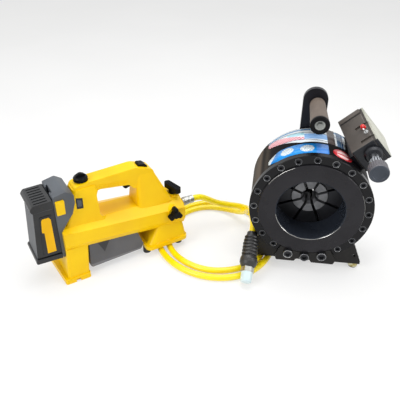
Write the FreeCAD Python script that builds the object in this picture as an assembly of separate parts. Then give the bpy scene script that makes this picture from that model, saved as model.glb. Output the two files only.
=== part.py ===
import FreeCAD, Part
import math
import os
from FreeCAD import Placement, Rotation, Vector

# Portable hose crimping set: a round crimping head, a battery driven hydraulic pump
# and the yellow pressure hose that lies in two loose turns between them.
# Millimetres, +Z up, crimping axis along Y, head front towards -Y, floor at Z 0.
# Everything is placed from the foot of the head's front centre and moved once, at the
# end, so that the origin lies under the middle of the whole set without its hose.

# Crimping head: cover, drum and piston
FLOOR_CLEARANCE = 28.0
FLANGE_RADIUS = 114.0
FACE_RADIUS = 97.0
FACE_STEP = 4.0
FLANGE_BACK = 16.0
RECESS_RADIUS = 63.0
RECESS_DEPTH = 55.0
RECESS_LIP = 1.6
DRUM_BORE = 98.0
DRUM_RADIUS = 112.5
DRUM_LENGTH = 109.0
REAR_WALL = 15.0
HUB_RADIUS = 72.0
HUB_BORE = 65.0
HUB_PROUD = 16.0
SPIGOT_PLAY = 0.1
RUNNING_FIT = 0.06
OIL_GAP = 2.0
PISTON_LENGTH = 31.0

# Dies
DIE_COUNT = 8
DIE_LENGTH = 40.0
DIE_TRAVEL = 6.0
PISTON_TRAVEL = 18.5
CONE_CLEARANCE = 0.3
DIE_BACK_RADIUS = 70.7
DIE_SIDE_GAP = 0.6
DIE_BORE_CLOSED = 6.5
SEGMENT_RADIUS = 29.0
SEGMENT_PROUD = 2.0
CRIMP_RIBS = 6
CRIMP_RIB_DEPTH = 0.7
THRUST_PLAY = 0.2

# Screws of the front cover
COVER_SCREWS = 20
SCREW_CIRCLE = 105.0
SCREW_SHANK = 8.0
SCREW_HEAD = 13.0
SCREW_HEAD_DEEP = 7.0
SCREW_SINK = 0.8
SCREW_GRIP = 30.0
BASE_SCREW_HEAD = 18.0
BASE_SCREW_PROUD = 6.0
SCREW_PLAY = 0.2

# Return springs of the piston
SPRING_COUNT = 4
SPRING_CIRCLE = 88.9
SPRING_DIAMETER = 9.2
SPRING_WIRE = 1.8
SPRING_POCKET = 10.2
SEAL_GROOVE = 3.0
COVER_POCKET_DEEP = 25.0
PISTON_POCKET_DEEP = 20.0
SPRING_TURNS = 6

# Plates and feet under the head
TAB_LEFT = -54.0
TAB_RIGHT = 57.0
TAB_DROP = 6.0
TAB_NOTCH_DEEP = 6.0
TAB_PLATE = 4.0
FOOT_HEIGHT = 16.0
EAR_HALF_WIDTH = 111.0
EAR_SHOULDER = 95.0
EAR_PLATE = 8.0
EAR_HOLE = 7.0
EAR_HOLE_RISE = 20.0
SADDLE_PLAY = 0.1
REAR_PLATE_Y = 98.0
FOOT_X = 101.0
FOOT_TAB_WIDTH = 20.0
FOOT_TAB_LENGTH = 22.0
FOOT_TAB_THICK = 4.0
FOOT_DIAMETER = 19.0
FOOT_SCREW = 5.0

# Carrying handle
HANDLE_X = -2.0
HANDLE_RISE = 160.0
HANDLE_PLATE_WIDTH = 46.0
HANDLE_PLATE_THICK = 10.0
HANDLE_PLATE_BOTTOM = 78.0
GRIP_LENGTH = 92.0
GRIP_REAR_RADIUS = 14.5
GRIP_FRONT_RADIUS = 16.5
GRIP_BORE = 6.0
END_RING = 5.0

# Control box, on a saddle at the upper right of the drum
BOX_ANGLE = 42.0
BOX_GAP = 5.5
BOX_DEEP = 44.0
BOX_LID = 6.0
BOX_FRONT = 28.0
BOX_REAR = 108.0
BOX_BASE = -4.0
BOX_FRONT_RISE = 44.0
BOX_REAR_RISE = 76.0
BOX_EDGE = 2.5
SLOT_LENGTH = 26.0
SLOT_WIDTH = 6.0
SLOT_DEEP = 3.0
SLOT_INSET = 36.0
SLOT_BACK = 67.5
LAMP_INSET = 37.5
LAMP_BACK = 62.0
LAMP_RADIUS = 4.2
TOGGLE_INSET = 38.5
TOGGLE_BACK = 50.0
TOGGLE_THROW = 24.0
LAMP_STEM = 1.9
BUSH_STEM = 2.1
SECOND_SLOT_BACK = 36.5
MICROMETER_INSET = 29.0
MICROMETER_RISE = 21.0
BOSS_RADIUS = 16.0
BOSS_LENGTH = 10.0
SLEEVE_RADIUS = 9.0
SLEEVE_LENGTH = 44.0
KNOB_RADIUS = 17.0
KNOB_LENGTH = 34.0
KNOB_FLUTES = 24

# Pump: u runs along it from its near left foot, v across it, w up
PUMP_X = -446.7
PUMP_Y = -106.0
PUMP_TURN = 39.0
PUMP_WIDTH = 92.0
DECK_INSET = 24.0
BODY_LEFT = 6.0
BODY_RIGHT = 258.0
DECK_LEFT = 120.0
DECK_RIGHT = 106.0
SHOULDER_LEFT = 113.0
SHOULDER_RIGHT = 90.0
SILL_LEFT = 86.0
SILL_RIGHT = 64.0
KEEL_DROP = 14.0
KEEL_INSET = 8.0
HANDLE_WIDTH = 32.0
HANDLE_TOP = 190.0
SKIRT_CLEAR = 17.0
SKIRT_THICK = 8.0
PAD_RADIUS = 8.0
TANK_INSET = 7.0
BATTERY_WIDTH = 62.0
BATTERY_PLAY = 0.3
BATTERY_RIBS = 7
BATTERY_RIB_RISE = 0.9
BATTERY_PAD_PROUD = 1.1
SKIRT_GUSSETS = 3
GUSSET_THICK = 4.0
RAIL_WIDTH = 30.0
RAIL_DEEP = 5.5
RAIL_BOTTOM = 118.0
RAIL_LENGTH = 46.0
HOUSING_WALL = 4.0
PORT_V = 21.0
PORT_W = 90.0
LOBE_U = 230.0
LOBE_W = 88.0
LEVER_U = 248.0
LEVER_REACH = 22.5
LEVER_TURN = 12.0
VENT_U = 64.0

# Hose
HOSE_DIAMETER = 13.0
FERRULE_DIAMETER = 19.0
PROTECTOR_DIAMETER = 34.0
PROTECTOR_LENGTH = 72.0
PROTECTOR_RIBS = 6
HEX_WIDTH = 22.0
HEX_LENGTH = 10.0
CAP_DIAMETER = 23.0
CAP_LENGTH = 20.0

# Heights and places that follow from the sizes above
AXIS_HEIGHT = FLANGE_RADIUS + FLOOR_CLEARANCE
EAR_BOTTOM = FOOT_HEIGHT - AXIS_HEIGHT
TAB_BOTTOM = -FLANGE_RADIUS - TAB_DROP
BOX_INNER = DRUM_RADIUS + BOX_GAP
SLOT_OUT = BOX_INNER + SLOT_INSET
LAMP_OUT = BOX_INNER + LAMP_INSET
TOGGLE_OUT = BOX_INNER + TOGGLE_INSET
MICROMETER_OUT = BOX_INNER + MICROMETER_INSET

X_AXIS = Vector(1, 0, 0)
Y_AXIS = Vector(0, 1, 0)
Z_AXIS = Vector(0, 0, 1)
ORIGIN = Vector(0, 0, 0)

parts = {}


def rounded_outline(corners, place):
    """Closed wire through corners (a, b, radius); place(a, b) gives each point."""
    edges = []
    starts = []
    ends = []
    middles = []
    count = len(corners)
    for index in range(count):
        before = Vector(*corners[index - 1][:2], 0)
        here = Vector(*corners[index][:2], 0)
        after = Vector(*corners[(index + 1) % count][:2], 0)
        radius = corners[index][2] if len(corners[index]) > 2 else 0
        to_before = (before - here).normalize()
        to_after = (after - here).normalize()
        if radius <= 0:
            starts.append(here)
            ends.append(here)
            middles.append(None)
            continue
        half = to_before.getAngle(to_after) / 2
        reach = radius / math.tan(half)
        inward = (to_before + to_after).normalize()
        centre = here + inward * (radius / math.sin(half))
        starts.append(here + to_before * reach)
        ends.append(here + to_after * reach)
        middles.append(centre - inward * radius)
    for index in range(count):
        if middles[index] is not None:
            arc = [place(point.x, point.y) for point in (starts[index], middles[index], ends[index])]
            edges.append(Part.Arc(*arc).toShape())
        leave = ends[index]
        arrive = starts[(index + 1) % count]
        if (leave - arrive).Length > 1e-6:
            edges.append(Part.makeLine(place(leave.x, leave.y), place(arrive.x, arrive.y)))
    return Part.Wire(edges)


def plate(corners, start, thick):
    """Upright plate: its outline lies in X and Z, it fills start to start + thick along Y."""
    wire = rounded_outline(corners, lambda a, b: Vector(a, start, b))
    return Part.Face(wire).extrude(Vector(0, thick, 0))


def side_form(corners, start, width):
    """Pump piece whose outline lies in u and w, filling start to start + width across it."""
    return plate(corners, start, width)


def flat_form(corners, bottom, height):
    """Piece whose outline lies in the level plane, from bottom up."""
    wire = rounded_outline(corners, lambda a, b: Vector(a, b, bottom))
    return Part.Face(wire).extrude(Vector(0, 0, height))


def turned(profile, base=ORIGIN, along=Y_AXIS):
    """Turned piece: profile lists (radius, distance along the axis)."""
    points = [Vector(radius, distance, 0) for radius, distance in profile]
    solid = Part.Face(Part.makePolygon(points + points[:1])).revolve(ORIGIN, Y_AXIS, 360)
    solid.Placement = Placement(base, Rotation(Y_AXIS, along))
    return solid


def rod(radius, base, along, length):
    return Part.makeCylinder(radius, length, base, along)


def block(corner, size):
    return Part.makeBox(size[0], size[1], size[2], Vector(*corner))


def hexagon(width, base, along, length):
    """Six sided bar across its flats."""
    reach = width / math.sqrt(3)
    points = [Vector(reach * math.cos(math.radians(60 * i)), 0, reach * math.sin(math.radians(60 * i)))
              for i in range(7)]
    solid = Part.Face(Part.makePolygon(points)).extrude(Vector(0, length, 0))
    solid.Placement = Placement(base, Rotation(Y_AXIS, along))
    return solid


def on_circle(radius, degrees, y=0.0):
    """Point on a circle about the head's axis; degrees from the right, anticlockwise."""
    angle = math.radians(degrees)
    return Vector(radius * math.cos(angle), y, radius * math.sin(angle))


def lift(shape):
    """Head pieces are drawn about the crimping axis and raised to its height."""
    moved = shape.copy()
    moved.translate(Vector(0, 0, AXIS_HEIGHT))
    return moved


def group(solids):
    return Part.makeCompound(solids)


def holes(body, tools):
    return body.cut(group(tools)) if tools else body


# Derived places of the head
DRUM_END = FLANGE_BACK + DRUM_LENGTH
WALL_INNER = DRUM_END - REAR_WALL
PISTON_REAR = WALL_INNER - OIL_GAP
PISTON_FRONT = PISTON_REAR - PISTON_LENGTH
DIE_FRONT = RECESS_DEPTH + THRUST_PLAY
DIE_REAR = DIE_FRONT + DIE_LENGTH
CONE_SLOPE = DIE_TRAVEL / PISTON_TRAVEL
CONE_AT_ZERO = DIE_BACK_RADIUS + CONE_CLEARANCE + CONE_SLOPE * DIE_REAR
SPRING_ANGLES = [45 + 360 / SPRING_COUNT * i for i in range(SPRING_COUNT)]
BASE_SCREW_ANGLES = (252, 270, 288)


def screw_angles():
    step = 360 / COVER_SCREWS
    return [90 + step * i for i in range(COVER_SCREWS)]


def small_screw_angles():
    return [angle for angle in screw_angles() if round(angle % 360) not in BASE_SCREW_ANGLES]


def socket_screw(place, head_radius, head_length, shank_radius, shank_length, along=Y_AXIS):
    """Socket head screw; place is the top of its head and along points into the work."""
    head = rod(head_radius, place, along, head_length)
    shank = rod(shank_radius, place + along * head_length, along, shank_length)
    return head.fuse(shank).cut(hexagon(head_radius, place - along, along, head_length * 0.6 + 1))


def make_front_cover():
    profile = [(RECESS_RADIUS + RECESS_LIP, 0), (FACE_RADIUS - 1, 0), (FACE_RADIUS, 1),
               (FACE_RADIUS, FACE_STEP), (FLANGE_RADIUS - 1, FACE_STEP),
               (FLANGE_RADIUS, FACE_STEP + 1), (FLANGE_RADIUS, FLANGE_BACK),
               (DRUM_BORE - SPIGOT_PLAY, FLANGE_BACK), (DRUM_BORE - SPIGOT_PLAY, RECESS_DEPTH),
               (RECESS_RADIUS, RECESS_DEPTH), (RECESS_RADIUS, RECESS_LIP)]
    cuts = []
    for angle in small_screw_angles():
        cuts.append(rod(SCREW_HEAD / 2 + SCREW_PLAY, on_circle(SCREW_CIRCLE, angle, FACE_STEP - 1),
                        Y_AXIS, SCREW_HEAD_DEEP + SCREW_SINK + 1))
    for angle in screw_angles():
        cuts.append(rod(SCREW_SHANK / 2 + SCREW_PLAY, on_circle(SCREW_CIRCLE, angle), Y_AXIS,
                        FLANGE_BACK + 1))
    for angle in SPRING_ANGLES:
        cuts.append(rod(SPRING_POCKET / 2, on_circle(SPRING_CIRCLE, angle, RECESS_DEPTH - COVER_POCKET_DEEP),
                        Y_AXIS, COVER_POCKET_DEEP + 1))
    return holes(turned(profile), cuts)


def make_drum():
    """Drum with its rear wall in one forging, bored for the piston and its hub."""
    seal_groove = (WALL_INNER + 5, WALL_INNER + 9)
    bore = HUB_RADIUS + RUNNING_FIT
    profile = [(DRUM_BORE, FLANGE_BACK), (DRUM_RADIUS, FLANGE_BACK), (DRUM_RADIUS, DRUM_END - 2),
               (DRUM_RADIUS - 2, DRUM_END), (bore, DRUM_END), (bore, seal_groove[1]),
               (bore + 3, seal_groove[1]), (bore + 3, seal_groove[0]), (bore, seal_groove[0]),
               (bore, WALL_INNER), (DRUM_BORE, WALL_INNER)]
    cuts = [rod(SCREW_SHANK / 2 + SCREW_PLAY / 2, on_circle(SCREW_CIRCLE, angle, FLANGE_BACK - 1),
                Y_AXIS, SCREW_GRIP - FLANGE_BACK + FACE_STEP + SCREW_HEAD_DEEP)
            for angle in screw_angles()]
    cuts += [rod(4.0, on_circle(86.0, 270, WALL_INNER - 1), Y_AXIS, REAR_WALL + 2)]
    cuts += [rod(3.0, Vector(HANDLE_X + side, DRUM_END - 10, HANDLE_PLATE_BOTTOM + 12), Y_AXIS, 12)
             for side in (-12, 12)]
    return holes(turned(profile), cuts)


def make_cover_screws():
    return [socket_screw(on_circle(SCREW_CIRCLE, angle, FACE_STEP + SCREW_SINK), SCREW_HEAD / 2,
                         SCREW_HEAD_DEEP, SCREW_SHANK / 2, SCREW_GRIP - SCREW_HEAD_DEEP)
            for angle in small_screw_angles()]


def make_base_screws():
    """Three larger screws that also hold the tab plate, standing proud of it."""
    top = FACE_STEP - TAB_PLATE - BASE_SCREW_PROUD
    return [socket_screw(on_circle(SCREW_CIRCLE, angle, top), BASE_SCREW_HEAD / 2,
                         BASE_SCREW_PROUD, SCREW_SHANK / 2, SCREW_GRIP + TAB_PLATE)
            for angle in BASE_SCREW_ANGLES]


def cone_radius(y):
    """Cone bore of the piston at rest."""
    return CONE_AT_ZERO - CONE_SLOPE * y


def make_piston():
    cone_end = (CONE_AT_ZERO - HUB_BORE) / CONE_SLOPE
    outer = DRUM_BORE - RUNNING_FIT
    profile = [(cone_radius(PISTON_FRONT), PISTON_FRONT), (outer - 1, PISTON_FRONT),
               (outer, PISTON_FRONT + 1)]
    for start, width in ((PISTON_FRONT + 6, 5), (PISTON_REAR - 9, 6)):
        floor = outer - SEAL_GROOVE
        profile += [(outer, start), (floor, start), (floor, start + width), (outer, start + width)]
    profile += [(outer, PISTON_REAR), (HUB_RADIUS, PISTON_REAR), (HUB_RADIUS, DRUM_END + HUB_PROUD - 1),
                (HUB_RADIUS - 1, DRUM_END + HUB_PROUD), (HUB_BORE, DRUM_END + HUB_PROUD),
                (HUB_BORE, cone_end)]
    cuts = [rod(SPRING_POCKET / 2, on_circle(SPRING_CIRCLE, angle, PISTON_FRONT - 1), Y_AXIS,
                PISTON_POCKET_DEEP + 1) for angle in SPRING_ANGLES]
    return holes(turned(profile), cuts)


def ring(inner, outer, start, width):
    return turned([(inner, start), (outer, start), (outer, start + width), (inner, start + width)])


def make_piston_seals():
    outer = DRUM_BORE - RUNNING_FIT / 2
    floor = DRUM_BORE - RUNNING_FIT - SEAL_GROOVE
    return group([ring(floor, outer, PISTON_FRONT + 6, 5), ring(floor, outer, PISTON_REAR - 9, 6)])


def make_hub_seal():
    return ring(HUB_RADIUS + RUNNING_FIT / 2, HUB_RADIUS + RUNNING_FIT + 3, WALL_INNER + 5, 4)


def make_return_springs():
    """Square wire compression springs, from the cover's pockets into the piston's."""
    half = SPRING_WIRE / 2
    start = RECESS_DEPTH - COVER_POCKET_DEEP + half
    length = PISTON_FRONT + PISTON_POCKET_DEEP - half - start
    mean = SPRING_DIAMETER / 2 - half
    springs = []
    for angle in SPRING_ANGLES:
        helix = Part.makeHelix(length / SPRING_TURNS, length, mean)
        section = Part.makePolygon([Vector(mean + a * half, 0, b * half)
                                    for a, b in ((-1, -1), (1, -1), (1, 1), (-1, 1), (-1, -1))])
        coil = Part.Wire(helix.Edges).makePipeShell([section], True, True)
        coil.Placement = Placement(on_circle(SPRING_CIRCLE, angle, start), Rotation(Z_AXIS, Y_AXIS))
        springs.append(coil)
    return group(springs)


def die_wedge():
    """Room of one die between its neighbours, pointing along +X, with the side gap off."""
    half = math.pi / DIE_COUNT
    tip = DIE_SIDE_GAP / 2 / math.sin(half)
    reach = DRUM_BORE + 10
    spread = reach * math.tan(half) - DIE_SIDE_GAP / 2 / math.cos(half)
    points = [Vector(tip, 0, 0), Vector(reach, 0, spread), Vector(reach, 0, -spread), Vector(tip, 0, 0)]
    return Part.Face(Part.makePolygon(points)).extrude(Vector(0, 200, 0))


def place_die(solid, index):
    """Open the die outward by its travel and turn it to its place round the axis."""
    opened = solid.copy()
    opened.translate(Vector(DIE_TRAVEL, 0, 0))
    opened.rotate(ORIGIN, Y_AXIS, -(90 + 360 / DIE_COUNT * index))
    return opened


def make_master_die():
    """Base jaw: its back is the cone that the piston drives, its front runs on the cover."""
    front = cone_radius(DIE_FRONT) - CONE_CLEARANCE - DIE_TRAVEL
    back = cone_radius(DIE_REAR) - CONE_CLEARANCE - DIE_TRAVEL
    profile = [(SEGMENT_RADIUS, DIE_FRONT + 1), (SEGMENT_RADIUS + 1, DIE_FRONT), (front - 1.5, DIE_FRONT),
               (front - CONE_SLOPE * 1.5, DIE_FRONT + 1.5), (back, DIE_REAR), (SEGMENT_RADIUS, DIE_REAR)]
    return turned(profile).common(die_wedge())


def make_die_segment():
    """Exchangeable die: ribbed crimping face, lead in cones, keyed on the base jaw."""
    front = DIE_FRONT - SEGMENT_PROUD
    rear = DIE_REAR + SEGMENT_PROUD
    profile = [(SEGMENT_RADIUS, front + 1), (SEGMENT_RADIUS - 1, front), (DIE_BORE_CLOSED + 5, front)]
    land = (rear - front - 12) / (2 * CRIMP_RIBS)
    for rib in range(CRIMP_RIBS):
        start = front + 6 + 2 * rib * land
        groove = DIE_BORE_CLOSED + CRIMP_RIB_DEPTH
        profile += [(groove, start), (DIE_BORE_CLOSED, start + land * 0.4),
                    (DIE_BORE_CLOSED, start + land * 1.4), (groove, start + land * 1.8)]
    profile += [(DIE_BORE_CLOSED + 5, rear), (SEGMENT_RADIUS - 1, rear), (SEGMENT_RADIUS, rear - 1)]
    return turned(profile).common(die_wedge())


def make_front_tab():
    """Plate under the flange, in the screw band, held by the three large screws."""
    rim = FACE_RADIUS + 0.3
    corners = [(TAB_LEFT, TAB_BOTTOM, 2), (-19, TAB_BOTTOM, 1), (-15, TAB_BOTTOM + TAB_NOTCH_DEEP, 2),
               (11, TAB_BOTTOM + TAB_NOTCH_DEEP, 2), (15, TAB_BOTTOM, 1), (TAB_RIGHT, TAB_BOTTOM, 2),
               (TAB_RIGHT + 4, TAB_BOTTOM + 11, 2), (TAB_RIGHT - 11, -84), (-TAB_RIGHT + 11, -84),
               (TAB_LEFT - 4, TAB_BOTTOM + 11, 2)]
    solid = plate(corners, FACE_STEP - TAB_PLATE, TAB_PLATE)
    solid = solid.cut(rod(rim, Vector(0, -1, 0), Y_AXIS, FACE_STEP + 2))
    return holes(solid, [rod(SCREW_SHANK / 2 + SCREW_PLAY, on_circle(SCREW_CIRCLE, angle, -1), Y_AXIS, 20)
                         for angle in BASE_SCREW_ANGLES])


def make_saddle(start, tab_side):
    """Welded plate with two ears and bent foot tabs; tab_side +1 points the tabs back."""
    corners = [(-EAR_HALF_WIDTH, EAR_BOTTOM, 3), (EAR_HALF_WIDTH, EAR_BOTTOM, 3),
               (EAR_HALF_WIDTH, EAR_BOTTOM + 6, 3), (EAR_SHOULDER, -81, 4), (80, -60),
               (-80, -60), (-EAR_SHOULDER, -81, 4), (-EAR_HALF_WIDTH, EAR_BOTTOM + 6, 3)]
    solid = plate(corners, start, EAR_PLATE)
    solid = solid.cut(rod(DRUM_RADIUS + SADDLE_PLAY, Vector(0, start - 1, 0), Y_AXIS, EAR_PLATE + 2))
    cuts = []
    for side in (-1, 1):
        tab_start = start if tab_side > 0 else start + EAR_PLATE - FOOT_TAB_LENGTH
        solid = solid.fuse(block((side * FOOT_X - FOOT_TAB_WIDTH / 2, tab_start, EAR_BOTTOM),
                                 (FOOT_TAB_WIDTH, FOOT_TAB_LENGTH, FOOT_TAB_THICK)))
        hole_place = Vector(side * (EAR_SHOULDER + 2), start - 1, EAR_BOTTOM + EAR_HOLE_RISE)
        cuts.append(rod(EAR_HOLE / 2, hole_place, Y_AXIS, EAR_PLATE + 2))
        foot_place = Vector(side * FOOT_X, foot_y(start, tab_side), EAR_BOTTOM - 1)
        cuts.append(rod(FOOT_SCREW / 2 + SCREW_PLAY, foot_place, Z_AXIS, FOOT_TAB_THICK + 2))
    return holes(solid, cuts)


def foot_y(start, tab_side):
    """Centre of a foot, clear of the upright plate that carries it."""
    reach = EAR_PLATE + (FOOT_TAB_LENGTH - EAR_PLATE) / 2
    return start + reach if tab_side > 0 else start + EAR_PLATE - reach


FOOT_PLACES = [(side * FOOT_X, foot_y(start, tab_side))
               for start, tab_side in ((FLANGE_BACK, 1), (REAR_PLATE_Y, -1)) for side in (-1, 1)]


def make_head_feet():
    """Turned rubber feet with a recess for the screw head."""
    half = FOOT_DIAMETER / 2
    profile = [(3.0, 0), (3.0, FOOT_HEIGHT), (half, FOOT_HEIGHT), (half, 3), (half - 1.5, 0)]
    return group([turned(profile, Vector(x, y, -AXIS_HEIGHT), Z_AXIS) for x, y in FOOT_PLACES])


def make_foot_screws():
    """Zinc screws and nuts that hold the rubber feet to their tabs."""
    solids = []
    for x, y in FOOT_PLACES:
        shank = rod(FOOT_SCREW / 2, Vector(x, y, -AXIS_HEIGHT + 3), Z_AXIS, FOOT_HEIGHT + 4)
        nut = hexagon(8, Vector(x, y, EAR_BOTTOM + FOOT_TAB_THICK), Z_AXIS, 4)
        solids.append(shank.fuse(nut))
    return solids


def make_handle_plate():
    half = HANDLE_PLATE_WIDTH / 2
    centre = HANDLE_X - 4
    top = HANDLE_RISE + 31
    corners = [(centre - half, HANDLE_PLATE_BOTTOM, 5), (centre + half, HANDLE_PLATE_BOTTOM, 5),
               (centre + half, top, half - 0.1), (centre - half, top, half - 0.1)]
    solid = plate(corners, DRUM_END, HANDLE_PLATE_THICK)
    cuts = [rod(3.2, Vector(HANDLE_X + side, DRUM_END - 1, HANDLE_PLATE_BOTTOM + 12), Y_AXIS, 20)
            for side in (-12, 12)]
    cuts.append(rod(GRIP_BORE / 2 + SCREW_PLAY, Vector(HANDLE_X, DRUM_END - 1, HANDLE_RISE), Y_AXIS, 20))
    return holes(solid, cuts)


def make_handle_screws():
    """Two screws that hold the handle plate on the drum's rear face."""
    return [socket_screw(Vector(HANDLE_X + side, DRUM_END + HANDLE_PLATE_THICK + 6, HANDLE_PLATE_BOTTOM + 12),
                         5, 6, 3, HANDLE_PLATE_THICK + 8, -Y_AXIS) for side in (-12, 12)]


def make_grip():
    """Tapered hand grip, thicker at its free front end, on the handle bolt."""
    front = DRUM_END - GRIP_LENGTH
    profile = [(GRIP_BORE / 2 + SCREW_PLAY, front), (GRIP_FRONT_RADIUS - 1, front),
               (GRIP_FRONT_RADIUS, front + 2), (GRIP_REAR_RADIUS, DRUM_END - 3),
               (GRIP_REAR_RADIUS - 1, DRUM_END), (GRIP_BORE / 2 + SCREW_PLAY, DRUM_END)]
    return turned(profile, Vector(HANDLE_X, 0, HANDLE_RISE))


def make_grip_ring():
    front = DRUM_END - GRIP_LENGTH
    profile = [(9.2, front - END_RING), (GRIP_FRONT_RADIUS - 1, front - END_RING),
               (GRIP_FRONT_RADIUS + 0.6, front - END_RING + 1.6), (GRIP_FRONT_RADIUS + 0.6, front),
               (GRIP_BORE / 2 + SCREW_PLAY, front), (GRIP_BORE / 2 + SCREW_PLAY, front - 2), (9.2, front - 2)]
    return turned(profile, Vector(HANDLE_X, 0, HANDLE_RISE))


def make_handle_bolt():
    """Long zinc bolt with a washer in front and a nut behind the plate."""
    front = DRUM_END - GRIP_LENGTH
    base = Vector(HANDLE_X, front - 2, HANDLE_RISE)
    washer = rod(9, base, -Y_AXIS, 1.6)
    head = hexagon(10, base - Y_AXIS * 1.6, -Y_AXIS, 4)
    shank = rod(GRIP_BORE / 2, base, Y_AXIS, GRIP_LENGTH + HANDLE_PLATE_THICK + 9)
    nut = hexagon(10, Vector(HANDLE_X, DRUM_END + HANDLE_PLATE_THICK, HANDLE_RISE), Y_AXIS, 5)
    return washer.fuse([head, shank, nut])


# The control box is drawn standing on the level plane: a points away from the drum, b up
# along its width, then it is turned so that a follows BOX_ANGLE.
def to_box(shape):
    turned_shape = shape.copy()
    turned_shape.rotate(ORIGIN, Y_AXIS, -BOX_ANGLE)
    return turned_shape


def box_face(back):
    """Rise of the sloping panel at a distance back from the head's front."""
    share = (back - BOX_FRONT) / (BOX_REAR - BOX_FRONT)
    return BOX_FRONT_RISE + share * (BOX_REAR_RISE - BOX_FRONT_RISE)


PANEL_NORMAL = Vector(0, -(BOX_REAR_RISE - BOX_FRONT_RISE), BOX_REAR - BOX_FRONT).normalize()


def wedge(inner, deep, base, top_drop):
    """Side outline of the box, filled from inner to inner + deep away from the drum."""
    corners = [(BOX_FRONT, base), (BOX_REAR, base), (BOX_REAR, BOX_REAR_RISE - top_drop),
               (BOX_FRONT, BOX_FRONT_RISE - top_drop), (BOX_FRONT, base)]
    outline = Part.makePolygon([Vector(inner, back, rise) for back, rise in corners])
    return Part.Face(outline).extrude(Vector(deep, 0, 0))


def make_box_saddle():
    """Foot of the box: one block hollowed to the drum."""
    solid = block((95, BOX_FRONT + 12, BOX_BASE + 2), (BOX_INNER - 95, BOX_REAR - BOX_FRONT - 24, 34))
    return to_box(solid).cut(rod(DRUM_RADIUS, Vector(0, 0, 0), Y_AXIS, DRUM_END))


def panel_point(out, back):
    return Vector(out, back, box_face(back))


def panel_slot(back):
    """Slot milled in the sloping panel, in the direction away from the drum."""
    slot = block((SLOT_OUT - SLOT_LENGTH / 2, -SLOT_WIDTH / 2, -SLOT_DEEP),
                 (SLOT_LENGTH, SLOT_WIDTH, SLOT_DEEP + 2))
    slot.Placement = Placement(Vector(0, back, box_face(back)), Rotation(Z_AXIS, PANEL_NORMAL))
    return slot


def make_control_box():
    solid = wedge(BOX_INNER, BOX_DEEP, BOX_BASE, 0)
    solid = solid.makeFillet(BOX_EDGE, [edge for edge in solid.Edges if edge.Length > BOX_DEEP - 1])
    cuts = [panel_slot(SLOT_BACK), panel_slot(SECOND_SLOT_BACK)]
    for out, back, stem in ((LAMP_OUT, LAMP_BACK, LAMP_STEM), (TOGGLE_OUT, TOGGLE_BACK, BUSH_STEM)):
        cuts.append(rod(stem + SCREW_PLAY / 2, panel_point(out, back) - PANEL_NORMAL * 12, PANEL_NORMAL, 14))
    cuts.append(rod(SLEEVE_RADIUS - 3, Vector(MICROMETER_OUT, BOX_FRONT - 1, MICROMETER_RISE), Y_AXIS, 13))
    return to_box(holes(solid, cuts))


def make_box_lid():
    """Cover plate on the outer side of the box."""
    solid = wedge(BOX_INNER + BOX_DEEP, BOX_LID, BOX_BASE, 2)
    solid = solid.makeFillet(BOX_EDGE, [edge for edge in solid.Edges if abs(edge.Length - BOX_LID) < 0.1])
    slot = panel_slot(SLOT_BACK).fuse(panel_slot(SECOND_SLOT_BACK))
    return to_box(solid.cut(slot))


def make_lamp():
    """Red lens of the pressure lamp, standing on the panel just in front of the upper slot."""
    collar = LAMP_RADIUS + 0.4
    profile = [(0, -9), (LAMP_STEM, -9), (LAMP_STEM, 0), (collar, 0), (collar, 1.2), (LAMP_RADIUS, 1.2),
               (LAMP_RADIUS, 4.6), (LAMP_RADIUS - 0.9, 6.6), (LAMP_RADIUS - 2.4, 7.6), (0, 7.9)]
    return to_box(turned(profile, panel_point(LAMP_OUT, LAMP_BACK), PANEL_NORMAL))


def toggle_pivot():
    """Centre of the ball that the toggle lever turns on, inside its bush."""
    return panel_point(TOGGLE_OUT, TOGGLE_BACK) + PANEL_NORMAL * 2.6


def make_toggle_bush():
    """Threaded bush with its hexagon nut."""
    base = panel_point(TOGGLE_OUT, TOGGLE_BACK)
    bush = turned([(0, -10), (BUSH_STEM, -10), (BUSH_STEM, 0), (2.8, 0), (2.8, 1.6), (2.5, 1.6), (2.5, 4.2),
                   (1.8, 4.2), (1.8, 1.0), (0, 1.0)], base, PANEL_NORMAL)
    nut = hexagon(7.0, base, PANEL_NORMAL, 1.8).cut(rod(2.6, base, PANEL_NORMAL, 2))
    return to_box(bush.fuse(nut))


def make_toggle_lever():
    """Bat lever standing at one end of its throw, its ball seated in the bush."""
    along = Rotation(X_AXIS, TOGGLE_THROW / 2).multVec(PANEL_NORMAL)
    ball = Part.makeSphere(1.4, toggle_pivot())
    bat = turned([(0, 0), (0.8, 0), (0.9, 2.5), (1.7, 10.5), (1.2, 12.0), (0, 12.5)], toggle_pivot(), along)
    return to_box(ball.fuse(bat))


def make_boss():
    """Turned boss that the micrometer screws into."""
    profile = [(SLEEVE_RADIUS + RUNNING_FIT, 0), (BOSS_RADIUS, 0), (BOSS_RADIUS, BOSS_LENGTH * 0.55),
               (BOSS_RADIUS - 3, BOSS_LENGTH), (SLEEVE_RADIUS + RUNNING_FIT, BOSS_LENGTH)]
    return to_box(turned(profile, Vector(MICROMETER_OUT, BOX_FRONT, MICROMETER_RISE), -Y_AXIS))


def make_sleeve():
    """Chromed micrometer sleeve that the knob turns round."""
    base = Vector(MICROMETER_OUT, BOX_FRONT, MICROMETER_RISE)
    return to_box(rod(SLEEVE_RADIUS, base, -Y_AXIS, SLEEVE_LENGTH))


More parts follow.
